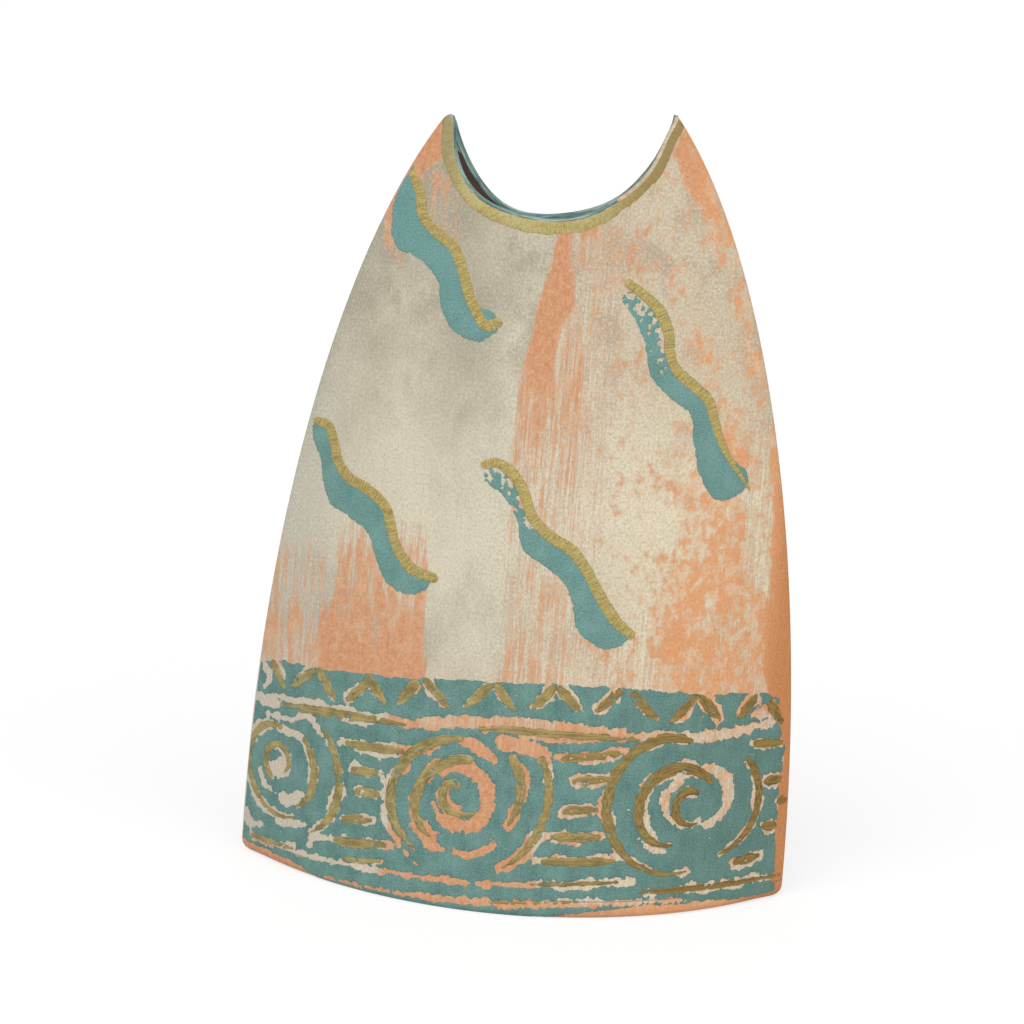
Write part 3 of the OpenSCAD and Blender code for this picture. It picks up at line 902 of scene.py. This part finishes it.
    # Darker, more saturated orange towards the right seam: painted shade where the face turns away
    clay = g.tint(clay, (204, 132, 74), across, 85, 98, 0, 0.85)
    clay = g.tint(clay, (178, 114, 74), grain, 0, 0.6, 0.3, 0)
    clay = g.tint(clay, (236, 190, 152), grain, 0.55, 1, 0, 0.3)
    dusty = g.ramp(g.total((dust, 0.75), (grain, 0.25)), 0.46, 0.76, 0, 0.78)
    dusty = g.times(dusty, g.ramp(across, 20, 50, 0.5, 1))
    dusty = g.times(dusty, g.ramp(bare, 1.2, 0.7))
    clay = g.mix(dusty, clay, (228, 200, 168))
    lines = g.times(scratches, g.ramp(across, 30, 75, 0.25, 0.7))
    relief = g.total((mottle, 0.6), (grain, 0.6), (lines, 1), (worn, -0.6))
    g.bump(relief, 0.28, 0.85)
    return g.surface(g.mix(worn, pale, clay), g.ramp(worn, 0, 1, 0.7, 0.86))


def clay_material(name, light, dark):
    """Unglazed clay with coarse grain, by its place in the body."""
    g = Graph(name)
    place = g.add("ShaderNodeTexCoord").outputs["Object"]
    grain = g.add("ShaderNodeTexNoise", {"Vector": place, "Scale": 900, "Detail": 4}).outputs["Fac"]
    clouds = g.add("ShaderNodeTexNoise", {"Vector": place, "Scale": 60, "Detail": 3}).outputs["Fac"]
    colour = g.mix(g.ramp(clouds, 0.3, 0.7), light, dark)
    colour = g.mix(g.ramp(grain, 0.35, 0.75, 0, 0.45), colour, dark)
    g.bump(grain, 0.25, 0.7)
    return g.surface(colour, g.ramp(clouds, 0.3, 0.7, 0.8, 0.92))


def slip_material():
    """Matt teal slip with soft brush streaks and a fine grain, a little darker on the band."""
    g = Graph("teal_slip")
    flat = g.attribute("flat", "Vector")
    across, height, _ = g.add("ShaderNodeSeparateXYZ", {0: flat}).outputs
    clouds = g.noise(flat, (0.12, 0.1), detail=5, roughness=0.6)
    streaks = g.noise(flat, (0.8, 0.14), detail=3, shift=5)
    grain = g.noise(flat, (1.8, 1.7), detail=3, roughness=0.75, shift=9)
    colour = g.mix(clouds, (88, 134, 128), (112, 156, 149))
    dark = g.mix(clouds, (70, 114, 108), (104, 146, 138))
    dark = g.tint(dark, (74, 108, 94), across, 10, 90, 0, 0.5)
    colour = g.tint(colour, (104, 158, 158), height, 185, 225, 0, 0.45)
    colour = g.mix(g.ramp(height, 92, 84, 0, 1), colour, dark)
    colour = g.mix(g.times(streaks, 0.22), colour, (132, 166, 154))
    colour = g.tint(colour, (52, 92, 90), grain, 0, 0.6, 0.5, 0)
    colour = g.tint(colour, (142, 178, 168), grain, 0.5, 1, 0, 0.42)
    g.bump(g.total((streaks, 0.4), (grain, 0.6)), 0.16, 0.7)
    return g.surface(colour, g.ramp(grain, 0, 1, 0.5, 0.64))


def lip_material():
    """Teal slip rubbed thin on the rim, with pale lines of painted highlight and dark lines of painted shade
    along it.
    """
    g = Graph("rim_slip")
    flat = g.attribute("flat", "Vector")
    lines = g.noise(flat, (0.06, 2), detail=3, roughness=0.6, shift=2)
    clouds = g.noise(flat, (0.16, 0.5), detail=3, shift=6)
    colour = g.mix(clouds, (80, 118, 113), (126, 158, 148))
    # Pale lines along the rim: painted highlights
    colour = g.tint(colour, (186, 206, 196), lines, 0.6, 0.85, 0, 0.75)
    # Dark lines along the rim: painted shade
    colour = g.tint(colour, (52, 80, 82), lines, 0.38, 0.14, 0, 0.75)
    g.bump(lines, 0.15, 0.7)
    return g.surface(colour, 0.38)


def lustre_material(name, rim):
    """Gold lustre with marks across the brush's way painted as highlight and shade stripes, painted glints,
    darker on the band and browner to the right, partly as painted shade.
    """
    g = Graph(name)
    flat = g.attribute("flat", "Vector")
    place = g.add("ShaderNodeSeparateXYZ", {0: flat})
    along = g.add("ShaderNodeCombineXYZ", {0: g.attribute("along", "Fac"), 1: place.outputs[1]}).outputs[0]
    ridges = g.noise(along, (1.8, 0.45), detail=3, roughness=0.6)
    grain = g.noise(flat, (1.9, 1.9), detail=3, roughness=0.7, shift=4)
    clouds = g.noise(flat, (0.14, 0.14), detail=3, shift=8)
    wander = g.times(g.math("SUBTRACT", clouds, 0.5), 24)
    # Browner towards the right: partly a browner lustre, partly painted shade where the face turns away
    rightward_bronze_and_shade = g.ramp(g.math("ADD", place.outputs[0], wander), -10, 74)
    low = g.ramp(g.math("ADD", place.outputs[1], wander), 78, 100, 1, 0)
    # Bright and dark stripes over the brush ridges: painted highlights and shade
    gold = g.mix(ridges, (144, 122, 60), (200, 180, 109))
    gold = g.tint(gold, (168, 155, 98), clouds, 0.4, 1, 0, 0.4)
    # Bright specks: painted glints
    gold = g.tint(gold, (226, 208, 142), grain, 0.66, 1, 0, 0.6)
    if rim:
        gold = g.tint(gold, (194, 185, 130), clouds, 0.1, 0.9, 0.2, 0.7)
        gold = g.tint(gold, (146, 120, 72), place.outputs[0], 6, 34, 0, 0.75)
        gold = g.tint(gold, (150, 138, 102), place.outputs[0], -34, -42, 0, 0.6)
    olive = g.mix(clouds, (122, 107, 56), (172, 153, 94))
    # Paler stripes over the ridges: painted highlights
    olive = g.tint(olive, (198, 183, 128), ridges, 0.3, 1, 0, 0.45)
    # Stripes over the ridges: painted highlights and shade
    bronze = g.mix(ridges, (106, 80, 30), (160, 130, 60))
    colour = g.mix(low, gold, g.mix(rightward_bronze_and_shade, olive, bronze))
    colour = g.tint(colour, (92, 74, 36), grain, 0, 0.5, 0.35, 0)
    g.bump(g.total((ridges, 0.6), (grain, 0.5)), 0.17, 0.8)
    return g.surface(colour, g.ramp(grain, 0, 1, 0.3, 0.46), 0.3)


wash = wash_material()
# The inner faces and the coils get a dark brown that paints the shade inside the narrow hollow
inner_clay = clay_material("painted_shade_inside", (118, 80, 70), (78, 50, 45))
foot_clay = clay_material("bare_foot_clay", (212, 152, 110), (190, 126, 86))
slip = slip_material()
lip_slip = lip_material()
lustre = lustre_material("gold_lustre", False)
rim_lustre = lustre_material("rim_lustre", True)


# Clay pieces

COLUMNS = 190
ROWS = 240
RIM_ROWS = 9
WELD = 0.03
HORN_TIP = HEIGHT - 0.6
# Heights between which the upper edge is looked for, and in how many steps
RIM_LOWEST = 200.0
RIM_STEPS = 1600
# Above this height the inside of the horns has the wash of their outside instead of the inner faces' painted
# shade
BARE_HORN = 262.0
# Heights of the foot's soft edge below the base slab's top, and the hollow of its underside
FOOT_HEIGHTS = (4.5, 3.2, 2.2, 1.4, 0.8, 0.35, 0.08, 0.0)
FOOT_HOLLOW = 0.7
UNDER_STEPS = 11


def spread(count):
    """Shares from -1 to 1, closer together towards the seams."""
    even = np.linspace(-1, 1, count)
    return np.sign(even) * (1 - (1 - np.abs(even)) ** 1.5)


def rim_height(share, back):
    """Where each column of the wall meets the edge of the crescent."""
    heights = np.linspace(RIM_LOWEST, HORN_TIP, RIM_STEPS)
    side = share[:, None] * half_girth(heights)[None, :]
    reach, _ = mouth_reach(section_x(side, heights[None, :]), heights[None, :], back)
    open_here = reach < 0
    first = np.where(open_here.any(1), open_here.argmax(1), len(heights) - 1)
    return heights[first]


def towards_mouth(x, z, back):
    """Directions out of the wall's edge: into the crescent, or up at the left horn's tip."""
    small = 0.05
    across = mouth_reach(x - small, z, back)[0] - mouth_reach(x + small, z, back)[0]
    above = mouth_reach(x, z - small, back)[0] - mouth_reach(x, z + small, back)[0]
    return unit(np.stack([across, above], -1))


def rim_points(x, z, turn, back):
    """Points over the rounded rim, from the outer face at turn 0 to the inner face at turn 1."""
    outer = outer_depth(x, z, back)
    inner = np.minimum(inner_depth(x, z, RIM_WALL), outer)
    depth = outer + (inner - outer) * (1 - np.cos(math.pi * turn)) / 2
    up = towards_mouth(x, z, back)
    cap = smooth(-1.0, 0.3, crescent_reach(x, z, back) - below_tip(x, z, back))
    rise = RIM_BULGE * np.sin(math.pi * turn) ** 0.6 * (1 - cap)
    return np.stack([x + rise * up[..., 0], OUTWARD[back] * depth, z + rise * up[..., 1]], -1)


def give_wash(piece, s, z):
    """Stores each point's place on the unrolled face and how bare it is, and closes the seams."""
    give(piece, "flat", "FLOAT_VECTOR", np.stack([s, z, 0 * s], -1))
    give(piece, "bare", "FLOAT", bareness(s, z))
    weld(piece, WELD)


def slab(name, back):
    """A bent wall slab: its outer face, its rounded rim and its inner face, down to the base slab."""
    share = spread(COLUMNS)
    top = rim_height(share, back)
    rise = np.linspace(0, 1, ROWS)
    z = BASE_THICKNESS + (top[:, None] - BASE_THICKNESS) * rise[None, :]
    x = section_x(share[:, None] * half_girth(z), z)
    outer = outer_face(x, z, back)
    turn = np.linspace(0, 1, RIM_ROWS + 2)[None, 1:-1]
    rim = rim_points(x[:, -1:], z[:, -1:], turn, back)
    z_in = z[:, ::-1]
    thickness = RIM_WALL + (WALL - RIM_WALL) * smooth(0, RIM_THINNING, top[:, None] - z_in)
    inner = inner_face(x[:, ::-1], z_in, thickness, back)
    ring = np.concatenate([outer, rim, inner], 1)
    rows = ring.shape[1]
    quads = grid_faces(COLUMNS, rows)
    row = np.tile(np.arange(rows), COLUMNS - 1)
    below_horn = ring[:-1, :, 2].ravel() < BARE_HORN
    # Inner faces below the horns take the second material, the inner faces' painted shade
    inside = ((row >= ROWS + RIM_ROWS) & below_horn).astype(int)
    piece = new_mesh(name, ring.reshape(-1, 3), quads.tolist(), [wash, inner_clay], inside)
    give_wash(piece, -OUTWARD[back] * share[:, None] * half_girth(ring[..., 2]), ring[..., 2])
    return piece


def foot():
    """The base slab, with its soft lower edge, rounded corners and slightly hollow underside."""
    share = spread(COLUMNS)[:, None]
    edge = np.array((BASE_THICKNESS, *FOOT_HEIGHTS))[None, :]
    z = np.broadcast_to(edge, (COLUMNS, edge.shape[1]))
    x = section_x(share * half_girth(z), z)
    front = outer_face(x, z, False)
    back = outer_face(x, z, True)[:, ::-1]
    across = np.linspace(0, 1, UNDER_STEPS)[None, 1:-1]
    hollow = FOOT_HOLLOW * np.sin(math.pi * across) ** 0.5 * smooth(0, 0.2, 1 - np.abs(share))
    under = front[:, -1:] + (back[:, :1] - front[:, -1:]) * across[..., None]
    under[..., 2] += hollow
    over = back[:, -1:] + (front[:, :1] - back[:, -1:]) * across[..., None]
    ring = np.concatenate([front, under, back, over], 1)
    rows = ring.shape[1]
    row = np.tile(np.arange(rows), COLUMNS - 1)
    edge_rows = edge.shape[1]
    back_start = edge_rows + across.shape[1]
    below = ((row >= edge_rows - 2) & (row < back_start + 1)).astype(int)
    piece = new_mesh("foot_slab", ring.reshape(-1, 3), grid_faces(COLUMNS, rows).tolist(),
                     [wash, foot_clay], below)
    way = np.where(ring[..., 1] > 0, -1, 1)
    give_wash(piece, way * share * half_girth(np.maximum(ring[..., 2], 0)), ring[..., 2])
    return piece


# Coats on the clay

# Raggedness of the coats' edges: layers of a height and a size across and up
WAVE_EDGE = ((1.0, 2.6, 2.6), (0.9, 1.1, 0.7))
WAVE_GOLD_EDGE = ((0.5, 1.3, 1.3),)
BAND_EDGE = ((1.8, 3.4, 3.4), (1.0, 1.0, 1.0))
BARE_EDGE = ((2.2, 2.6, 2.6), (2.0, 1.1, 1.1))
GOLD_EDGE = ((1.1, 1.5, 1.5), (0.6, 5.0, 0.8))
RIM_EDGE = ((0.8, 1.6, 1.6), (0.8, 0.7, 2.5))
# Holes in the coats: steepness, size across and up, and level
DRY_HOLES = (4, 1.4, 1.4, 0.36)
BAND_HOLES = (6, 1.3, 1.3, 0.325)
GOLD_HOLES = (3, 2.2, 1.1, 0.22)
LIP_HOLES = (3, 5.0, 1.5, 0.36)
# Room round a wavy stroke on its grid, and how much more it is holed where the brush ran dry
WAVE_ROOM = 5.0
DRYNESS = 0.48


def wave_pieces(number, wave, back):
    """One wavy stroke: its teal slip and its gold edge."""
    near = wave["gold"]
    if wave["apart"]:
        near = near[:-APART_POINTS] + wave["apart"]
    near_path = curve(near)
    outline = np.concatenate([near_path, curve(wave["teal"])[::-1]])
    low = outline.min(0) - WAVE_ROOM
    s, z = face_grid(low, outline.max(0) + WAVE_ROOM, WAVE_STEP)
    seed = 20 + 10 * number + 100 * back
    teal = outline_distance(s, z, outline) + ragged(s, z, seed, WAVE_EDGE)
    if wave["dry"]:
        lowest, highest, reach = wave["dry"]
        beside = 1 - smooth(1, reach, stroke_distance(s, z, [(near_path, np.zeros(len(near_path)))]))
        dry = smooth(lowest, highest, z + 5 * rough(s / 6, z / 6, seed + 5)) * (0.3 + 0.7 * beside)
        teal = np.maximum(teal, holes(s, z, seed + 7, DRY_HOLES, DRYNESS * dry))
    place = partial(face, back=back)
    seam = np.abs(s) - half_girth(z) + SEAM_CLEAR
    side = SIDE[back]
    piece = coat(f"{side}_wave_slip_{number}", place, np.maximum(teal, seam), low, WAVE_STEP, SLIP, slip)
    dress(piece, "teal_slip", f"{side}_wave_{number}")
    end, fade = wave["tail"]
    gold = stroke_distance(s, z, [brushed(curve(wave["gold"]), WAVE_GOLD, 0.7, end, 0.2, fade)])
    gold = np.maximum(gold + ragged(s, z, seed + 9, WAVE_GOLD_EDGE), seam)
    along = partial(along_path, path=curve(wave["gold"], 40))
    piece = coat(f"{side}_wave_gold_{number}", place, gold, low, WAVE_STEP, LUSTRE, lustre, SLIP, along)
    dress(piece, "gold_lustre", f"{side}_wave_edge_{number}")


def chevron_strokes(seed):
    """Short strokes below the band's upper edge, each leaning against the one before."""
    tops = np.array(BAND_TOP)
    draw = np.random.default_rng(seed)
    strokes = []
    for k, middle in enumerate(CHEVRONS):
        high = np.interp(middle, tops[:, 0], tops[:, 1]) - CHEVRON_DROP
        low = high - CHEVRON_RISE * draw.uniform(0.9, 1.15)
        run = CHEVRON_RUN / 2 * draw.uniform(0.75, 1.15) * (1 if k % 2 else -1)
        path = curve([(middle + run, high), (middle - run, low)], 6)
        strokes.append(brushed(path, CHEVRON_BRUSH, 0.8, 0.4))
    return strokes


def band_strokes(seed):
    """The gold strokes of the band by the name of their piece."""
    strokes = {f"spiral_{name}": [brushed(arc(*parts[:3]), parts[3]) for parts in arcs]
               for name, arcs in SPIRALS.items()}
    strokes["dashes"] = [brushed(curve(ends, 6), DASH_BRUSH, 0.7, 0.5, fade=0.3) for ends in DASHES]
    strokes["chevrons"] = chevron_strokes(seed)
    strokes["rules"] = [brushed(curve(points), width, 0.4, 0.2) for points, width in RULES]
    return strokes


def bare_strokes(strokes, seed):
    """Strokes of bare ground: the drawn ones and broken margins beside the gold."""
    bare = [brushed(arc(*parts[:3]), parts[3], 0.5, 0.25) for parts in BARE_ARCS]
    bare += [brushed(curve(points), width, 0.4, 0.3) for points, width in BARE_LINES]
    for ends in DASHES:
        start, end = np.array(ends[0]), np.array(ends[1])
        longer = (end - start) * DASH_OVERRUN
        path = curve([start - longer, end + longer], 6)
        bare.append((path + (0, 0.4), 1.3 + 2.4 * rough(path[:, 0] / 3, path[:, 1], seed)))
    for name, group in strokes.items():
        for k, stroke in enumerate(group):
            for side in (-1, 1):
                bare.append(margin(stroke, side, BARE_MARGIN, seed + 3 * k + side + len(name)))
    return bare


# Corners of the band's grid
BAND_GRID = ((-114.0, 0.2), (114.0, 86.0))
# How close together the brush lines lie on the band, against the marks across the waves' gold
BRUSH_LINES = 0.8


def brush_lines(s, z, strokes, seed):
    """A value whose lines of one level run along the strokes."""
    return BRUSH_LINES * (stroke_distance(s, z, strokes) + 1.2 * rough(s / 6, z / 6, seed))


def band_pieces(back):
    """The teal band round the foot and the gold marks on it."""
    seed = 60 + 100 * back
    side = SIDE[back]
    s, z = face_grid(*BAND_GRID)
    low = BAND_GRID[0]
    top = np.interp(s, *np.array(BAND_TOP).T)
    bottom = np.interp(s, *np.array(BAND_LOW).T)
    right = np.interp(z, *np.array(BAND_RIGHT).T)
    seam = np.abs(s) - half_girth(z) + SEAM_CLEAR
    teal = np.maximum.reduce([z - top, bottom - z, s - right]) + ragged(s, z, seed, BAND_EDGE)
    strokes = band_strokes(seed)
    bare = stroke_distance(s, z, bare_strokes(strokes, seed)) + ragged(s, z, seed + 6, BARE_EDGE)
    teal = np.maximum.reduce([teal, -bare, holes(s, z, seed + 12, BAND_HOLES), seam])
    place = partial(face, back=back)
    piece = coat(f"{side}_band_slip", place, teal, low, COAT_STEP, SLIP, slip)
    dress(piece, "teal_slip", f"{side}_band")
    for name, group in strokes.items():
        gold = stroke_distance(s, z, group) + ragged(s, z, seed + 15, GOLD_EDGE)
        gold = np.maximum.reduce([gold, holes(s, z, seed + 21, GOLD_HOLES), seam])
        along = partial(brush_lines, strokes=group, seed=seed + 24)
        piece = coat(f"{side}_gold_{name}", place, gold, low, COAT_STEP, LUSTRE, lustre, SLIP, along)
        dress(piece, "gold_lustre", f"{side}_{name}")


# The mouth's gold line: the corners of its grid, its width, its width on the right and its share on the left,
# the angles between which it narrows on the right and widens on the left, and its room at the edge and seams
RIM_GRID = ((-62.0, 226.0), (62.0, HEIGHT - 0.5))
RIM_LINE = 4.1
RIM_LINE_RIGHT = 3.0
RIM_LEFT_SHARE = 0.75
RIM_RIGHT = (285, 320)
RIM_LEFT = (182, 205)
RIM_ROOM = 0.05
RIM_SEAM_ROOM = 0.3


def rim_line(back):
    """The gold line along the mouth on the outside of one wall."""
    seed = 80 + 100 * back
    side = SIDE[back]
    s, z = face_grid(*RIM_GRID)
    x = -OUTWARD[back] * section_x(np.clip(s, -half_girth(z), half_girth(z)), z)
    edge, angle = mouth_reach(x, z, back)
    turn = np.degrees(angle) % 360
    width = RIM_LINE + (RIM_LINE_RIGHT - RIM_LINE) * smooth(*RIM_RIGHT, turn)
    width = width * (RIM_LEFT_SHARE + (1 - RIM_LEFT_SHARE) * smooth(*RIM_LEFT, turn))
    width = width * (1 + 0.3 * rough(angle * 5, 0 * angle, seed))
    gold = crescent_reach(x, z, back) - width + ragged(s, z, seed + 3, RIM_EDGE)
    gold = np.maximum.reduce([gold, RIM_ROOM - edge, np.abs(s) - half_girth(z) + RIM_SEAM_ROOM])
    (_, middle_z), radius, _ = MOUTHS[back]
    along = lambda a, b: radius * np.arctan2(middle_z - b, a)
    place = partial(face, back=back)
    piece = coat(f"{side}_mouth_gold", place, gold, RIM_GRID[0], COAT_STEP, LUSTRE, rim_lustre, 0.0, along)
    dress(piece, "gold_lustre", f"{side}_rim_line")


# The mouth's slip: its step and thickness, how far it reaches inside, the angles where it starts and ends,
# the shares of its length between which it wears off in front, its room at the seams and horns' tips,
# and how close points are joined
LIP_STEP = 0.3
LIP_SLIP = 0.16
LIP_INSIDE = 0.5
LIP_START = math.radians(182)
LIP_END = math.radians(361)
LIP_WORN = (0.66, 0.76)
LIP_SEAM_ROOM = 0.4
LIP_TIP_ROOM = 0.2
LIP_WELD = 0.0005


def lip_place(way, across, back):
    """A point over the rim: way along the crescent, and across from the outer edge to the inner face."""
    (middle_x, middle_z), radius, _ = MOUTHS[back]
    angle = LIP_END - way / radius if back else LIP_START + way / radius
    over = np.clip(across / RIM_WALL, 0, 1)
    inside = np.maximum(across - RIM_WALL, 0)
    edge = mouth_radius(angle, back)
    x = middle_x + edge * np.cos(angle)
    z = middle_z + edge * np.sin(angle)
    rim = rim_points(x, z, over, back)
    x_in = middle_x + (edge + inside) * np.cos(angle)
    z_in = middle_z + (edge + inside) * np.sin(angle)
    wall = inner_face(x_in, z_in, RIM_WALL, back)
    return np.where((inside > 0)[..., None], wall, rim)


def lip(back):
    """Teal slip over the rim and a little way down the inner face, worn through on the right."""
    seed = 90 + 100 * back
    side = SIDE[back]
    length = (LIP_END - LIP_START) * MOUTHS[back][1]
    low = (0.0, 0.02)
    way, across = np.meshgrid(np.arange(low[0], length, LIP_STEP),
                              np.arange(low[1], RIM_WALL + LIP_INSIDE + 2, LIP_STEP), indexing="ij")
    edge = RIM_WALL + LIP_INSIDE + 1.4 * rough(way / 6, across / 3, seed)
    field = np.maximum(across - edge, 0.4 * rough(way / 3, across / 3, seed + 2) - across)
    if not back:
        worn = smooth(*LIP_WORN, way / length)
        field = np.maximum(field, holes(way, across, seed + 4, LIP_HOLES, 0.8 * worn))
    spot = lip_place(way, across, back)
    outside = np.abs(spot[..., 0]) - half_width(np.minimum(spot[..., 2], HEIGHT)) + LIP_SEAM_ROOM
    tip = -below_tip(spot[..., 0], spot[..., 2], back)
    field = np.maximum.reduce([field, outside, tip, spot[..., 2] - HORN_TIP + LIP_TIP_ROOM])
    piece = coat(f"{side}_lip_slip", partial(lip_place, back=back), field, low, LIP_STEP, LIP_SLIP, lip_slip)
    weld(piece, LIP_WELD)
    dress(piece, "teal_slip", f"{side}_rim_lip")


for back in (False, True):
    side = SIDE[back]
    dress(slab(f"{side}_slab", back), "terracotta", f"{side}_wall")
    for number, wave in enumerate(WAVES, 1):
        wave_pieces(number, wave, back)
    band_pieces(back)
    rim_line(back)
    lip(back)
dress(foot(), "terracotta", "base_slab")
# The coils get the inner faces' painted shade as well
for name in ("left_seam_coil", "right_seam_coil", "base_coil"):
    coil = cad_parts[name]
    coil.data.materials.clear()
    coil.data.materials.append(inner_clay)


# Floor, light and camera

FLOOR_SIDE = 60000.0
# Grey of the floor for the light it throws back, and its grey and glow where it is seen
FLOOR_GREY = 0.75
FLOOR_SEEN = 0.34
FLOOR_GLOW = 0.69
FLOOR_ROUGHNESS = 0.9
# Strength of the sky as a light and where it is seen
SKY_LIGHT = 0.45
SKY_SEEN = 1.0


def grey(level):
    return (level, level, level, 1.0)


def floor():
    half = FLOOR_SIDE / 2
    corners = [(-half, -half, 0), (half, -half, 0), (half, half, 0), (-half, half, 0)]
    g = Graph("pale_floor")
    g.surface(grey(FLOOR_GREY), FLOOR_ROUGHNESS)
    white = g.add("ShaderNodeBsdfPrincipled", {"Base Color": grey(FLOOR_SEEN), "Roughness": FLOOR_ROUGHNESS,
                                               "Emission Color": grey(1.0), "Emission Strength": FLOOR_GLOW})
    seen = g.add("ShaderNodeLightPath")
    shown = g.math("MAXIMUM", seen.outputs["Is Camera Ray"], seen.outputs["Is Glossy Ray"])
    shown = g.math("MAXIMUM", shown, seen.outputs["Is Transmission Ray"])
    either = g.add("ShaderNodeMixShader", {0: shown, 1: g.shader.outputs[0], 2: white.outputs[0]})
    g.feed(g.tree.nodes["Material Output"].inputs["Surface"], either.outputs[0])
    plane = new_mesh("floor", corners, [(0, 1, 2, 3)], [g.material])


def direction(azimuth, elevation):
    """The way to this azimuth, where 0 is the front and 90 the right, and elevation, in degrees."""
    turn = math.radians(azimuth)
    high = math.radians(elevation)
    return Vector((math.sin(turn) * math.cos(high), -math.cos(turn) * math.cos(high), math.sin(high)))


def sun(name, azimuth, elevation, strength, softness):
    """A soft lamp that shines from this direction."""
    data = bpy.data.lights.new(name, "SUN")
    data.energy = strength
    data.angle = math.radians(softness)
    lamp = bpy.data.objects.new(name, data)
    lamp.rotation_euler = direction(azimuth, elevation).to_track_quat("Z", "Y").to_euler()
    bpy.context.scene.collection.objects.link(lamp)


def sky():
    world = bpy.data.worlds.new("studio")
    bpy.context.scene.world = world
    world.use_nodes = True
    background = world.node_tree.nodes["Background"]
    seen = world.node_tree.nodes.new("ShaderNodeLightPath")
    strength = world.node_tree.nodes.new("ShaderNodeMapRange")
    strength.inputs["To Min"].default_value = SKY_LIGHT
    strength.inputs["To Max"].default_value = SKY_SEEN
    background.inputs["Color"].default_value = grey(1.0)
    world.node_tree.links.new(seen.outputs["Is Camera Ray"], strength.inputs["Value"])
    world.node_tree.links.new(strength.outputs["Result"], background.inputs["Strength"])


CAMERA_AZIMUTH = 2.44
CAMERA_ELEVATION = 11.78
CAMERA_ROLL = math.radians(4.26)
CAMERA_DISTANCE = 1000.0
CAMERA_SIDE = 9.1
CAMERA_DROP = 5.4
PHOTO_SIDE = 1024
FOCAL_PIXELS = 2800
SENSOR = 36.0
VIEW_FAR = 200


def camera():
    back = direction(CAMERA_AZIMUTH, CAMERA_ELEVATION)
    right = direction(CAMERA_AZIMUTH + 90, 0)
    up = back.cross(right)
    place = Vector((0, 0, HEIGHT / 2)) + back * CAMERA_DISTANCE - right * CAMERA_SIDE - up * CAMERA_DROP
    across = math.cos(CAMERA_ROLL) * right + math.sin(CAMERA_ROLL) * up
    above = -math.sin(CAMERA_ROLL) * right + math.cos(CAMERA_ROLL) * up
    data = bpy.data.cameras.new("camera")
    data.sensor_width = SENSOR
    data.lens = FOCAL_PIXELS / PHOTO_SIDE * SENSOR
    data.clip_end = VIEW_FAR
    view = bpy.data.objects.new("camera", data)
    view.matrix_world = Matrix.Translation(place * MM) @ Matrix((across, above, back)).transposed().to_4x4()
    bpy.context.scene.collection.objects.link(view)
    bpy.context.scene.camera = view


floor()
sky()
sun("key_light", -28, 46, 1.35, 45)
sun("fill_light", 42, 32, 0.85, 60)
camera()
bpy.context.scene.view_settings.view_transform = "Standard"
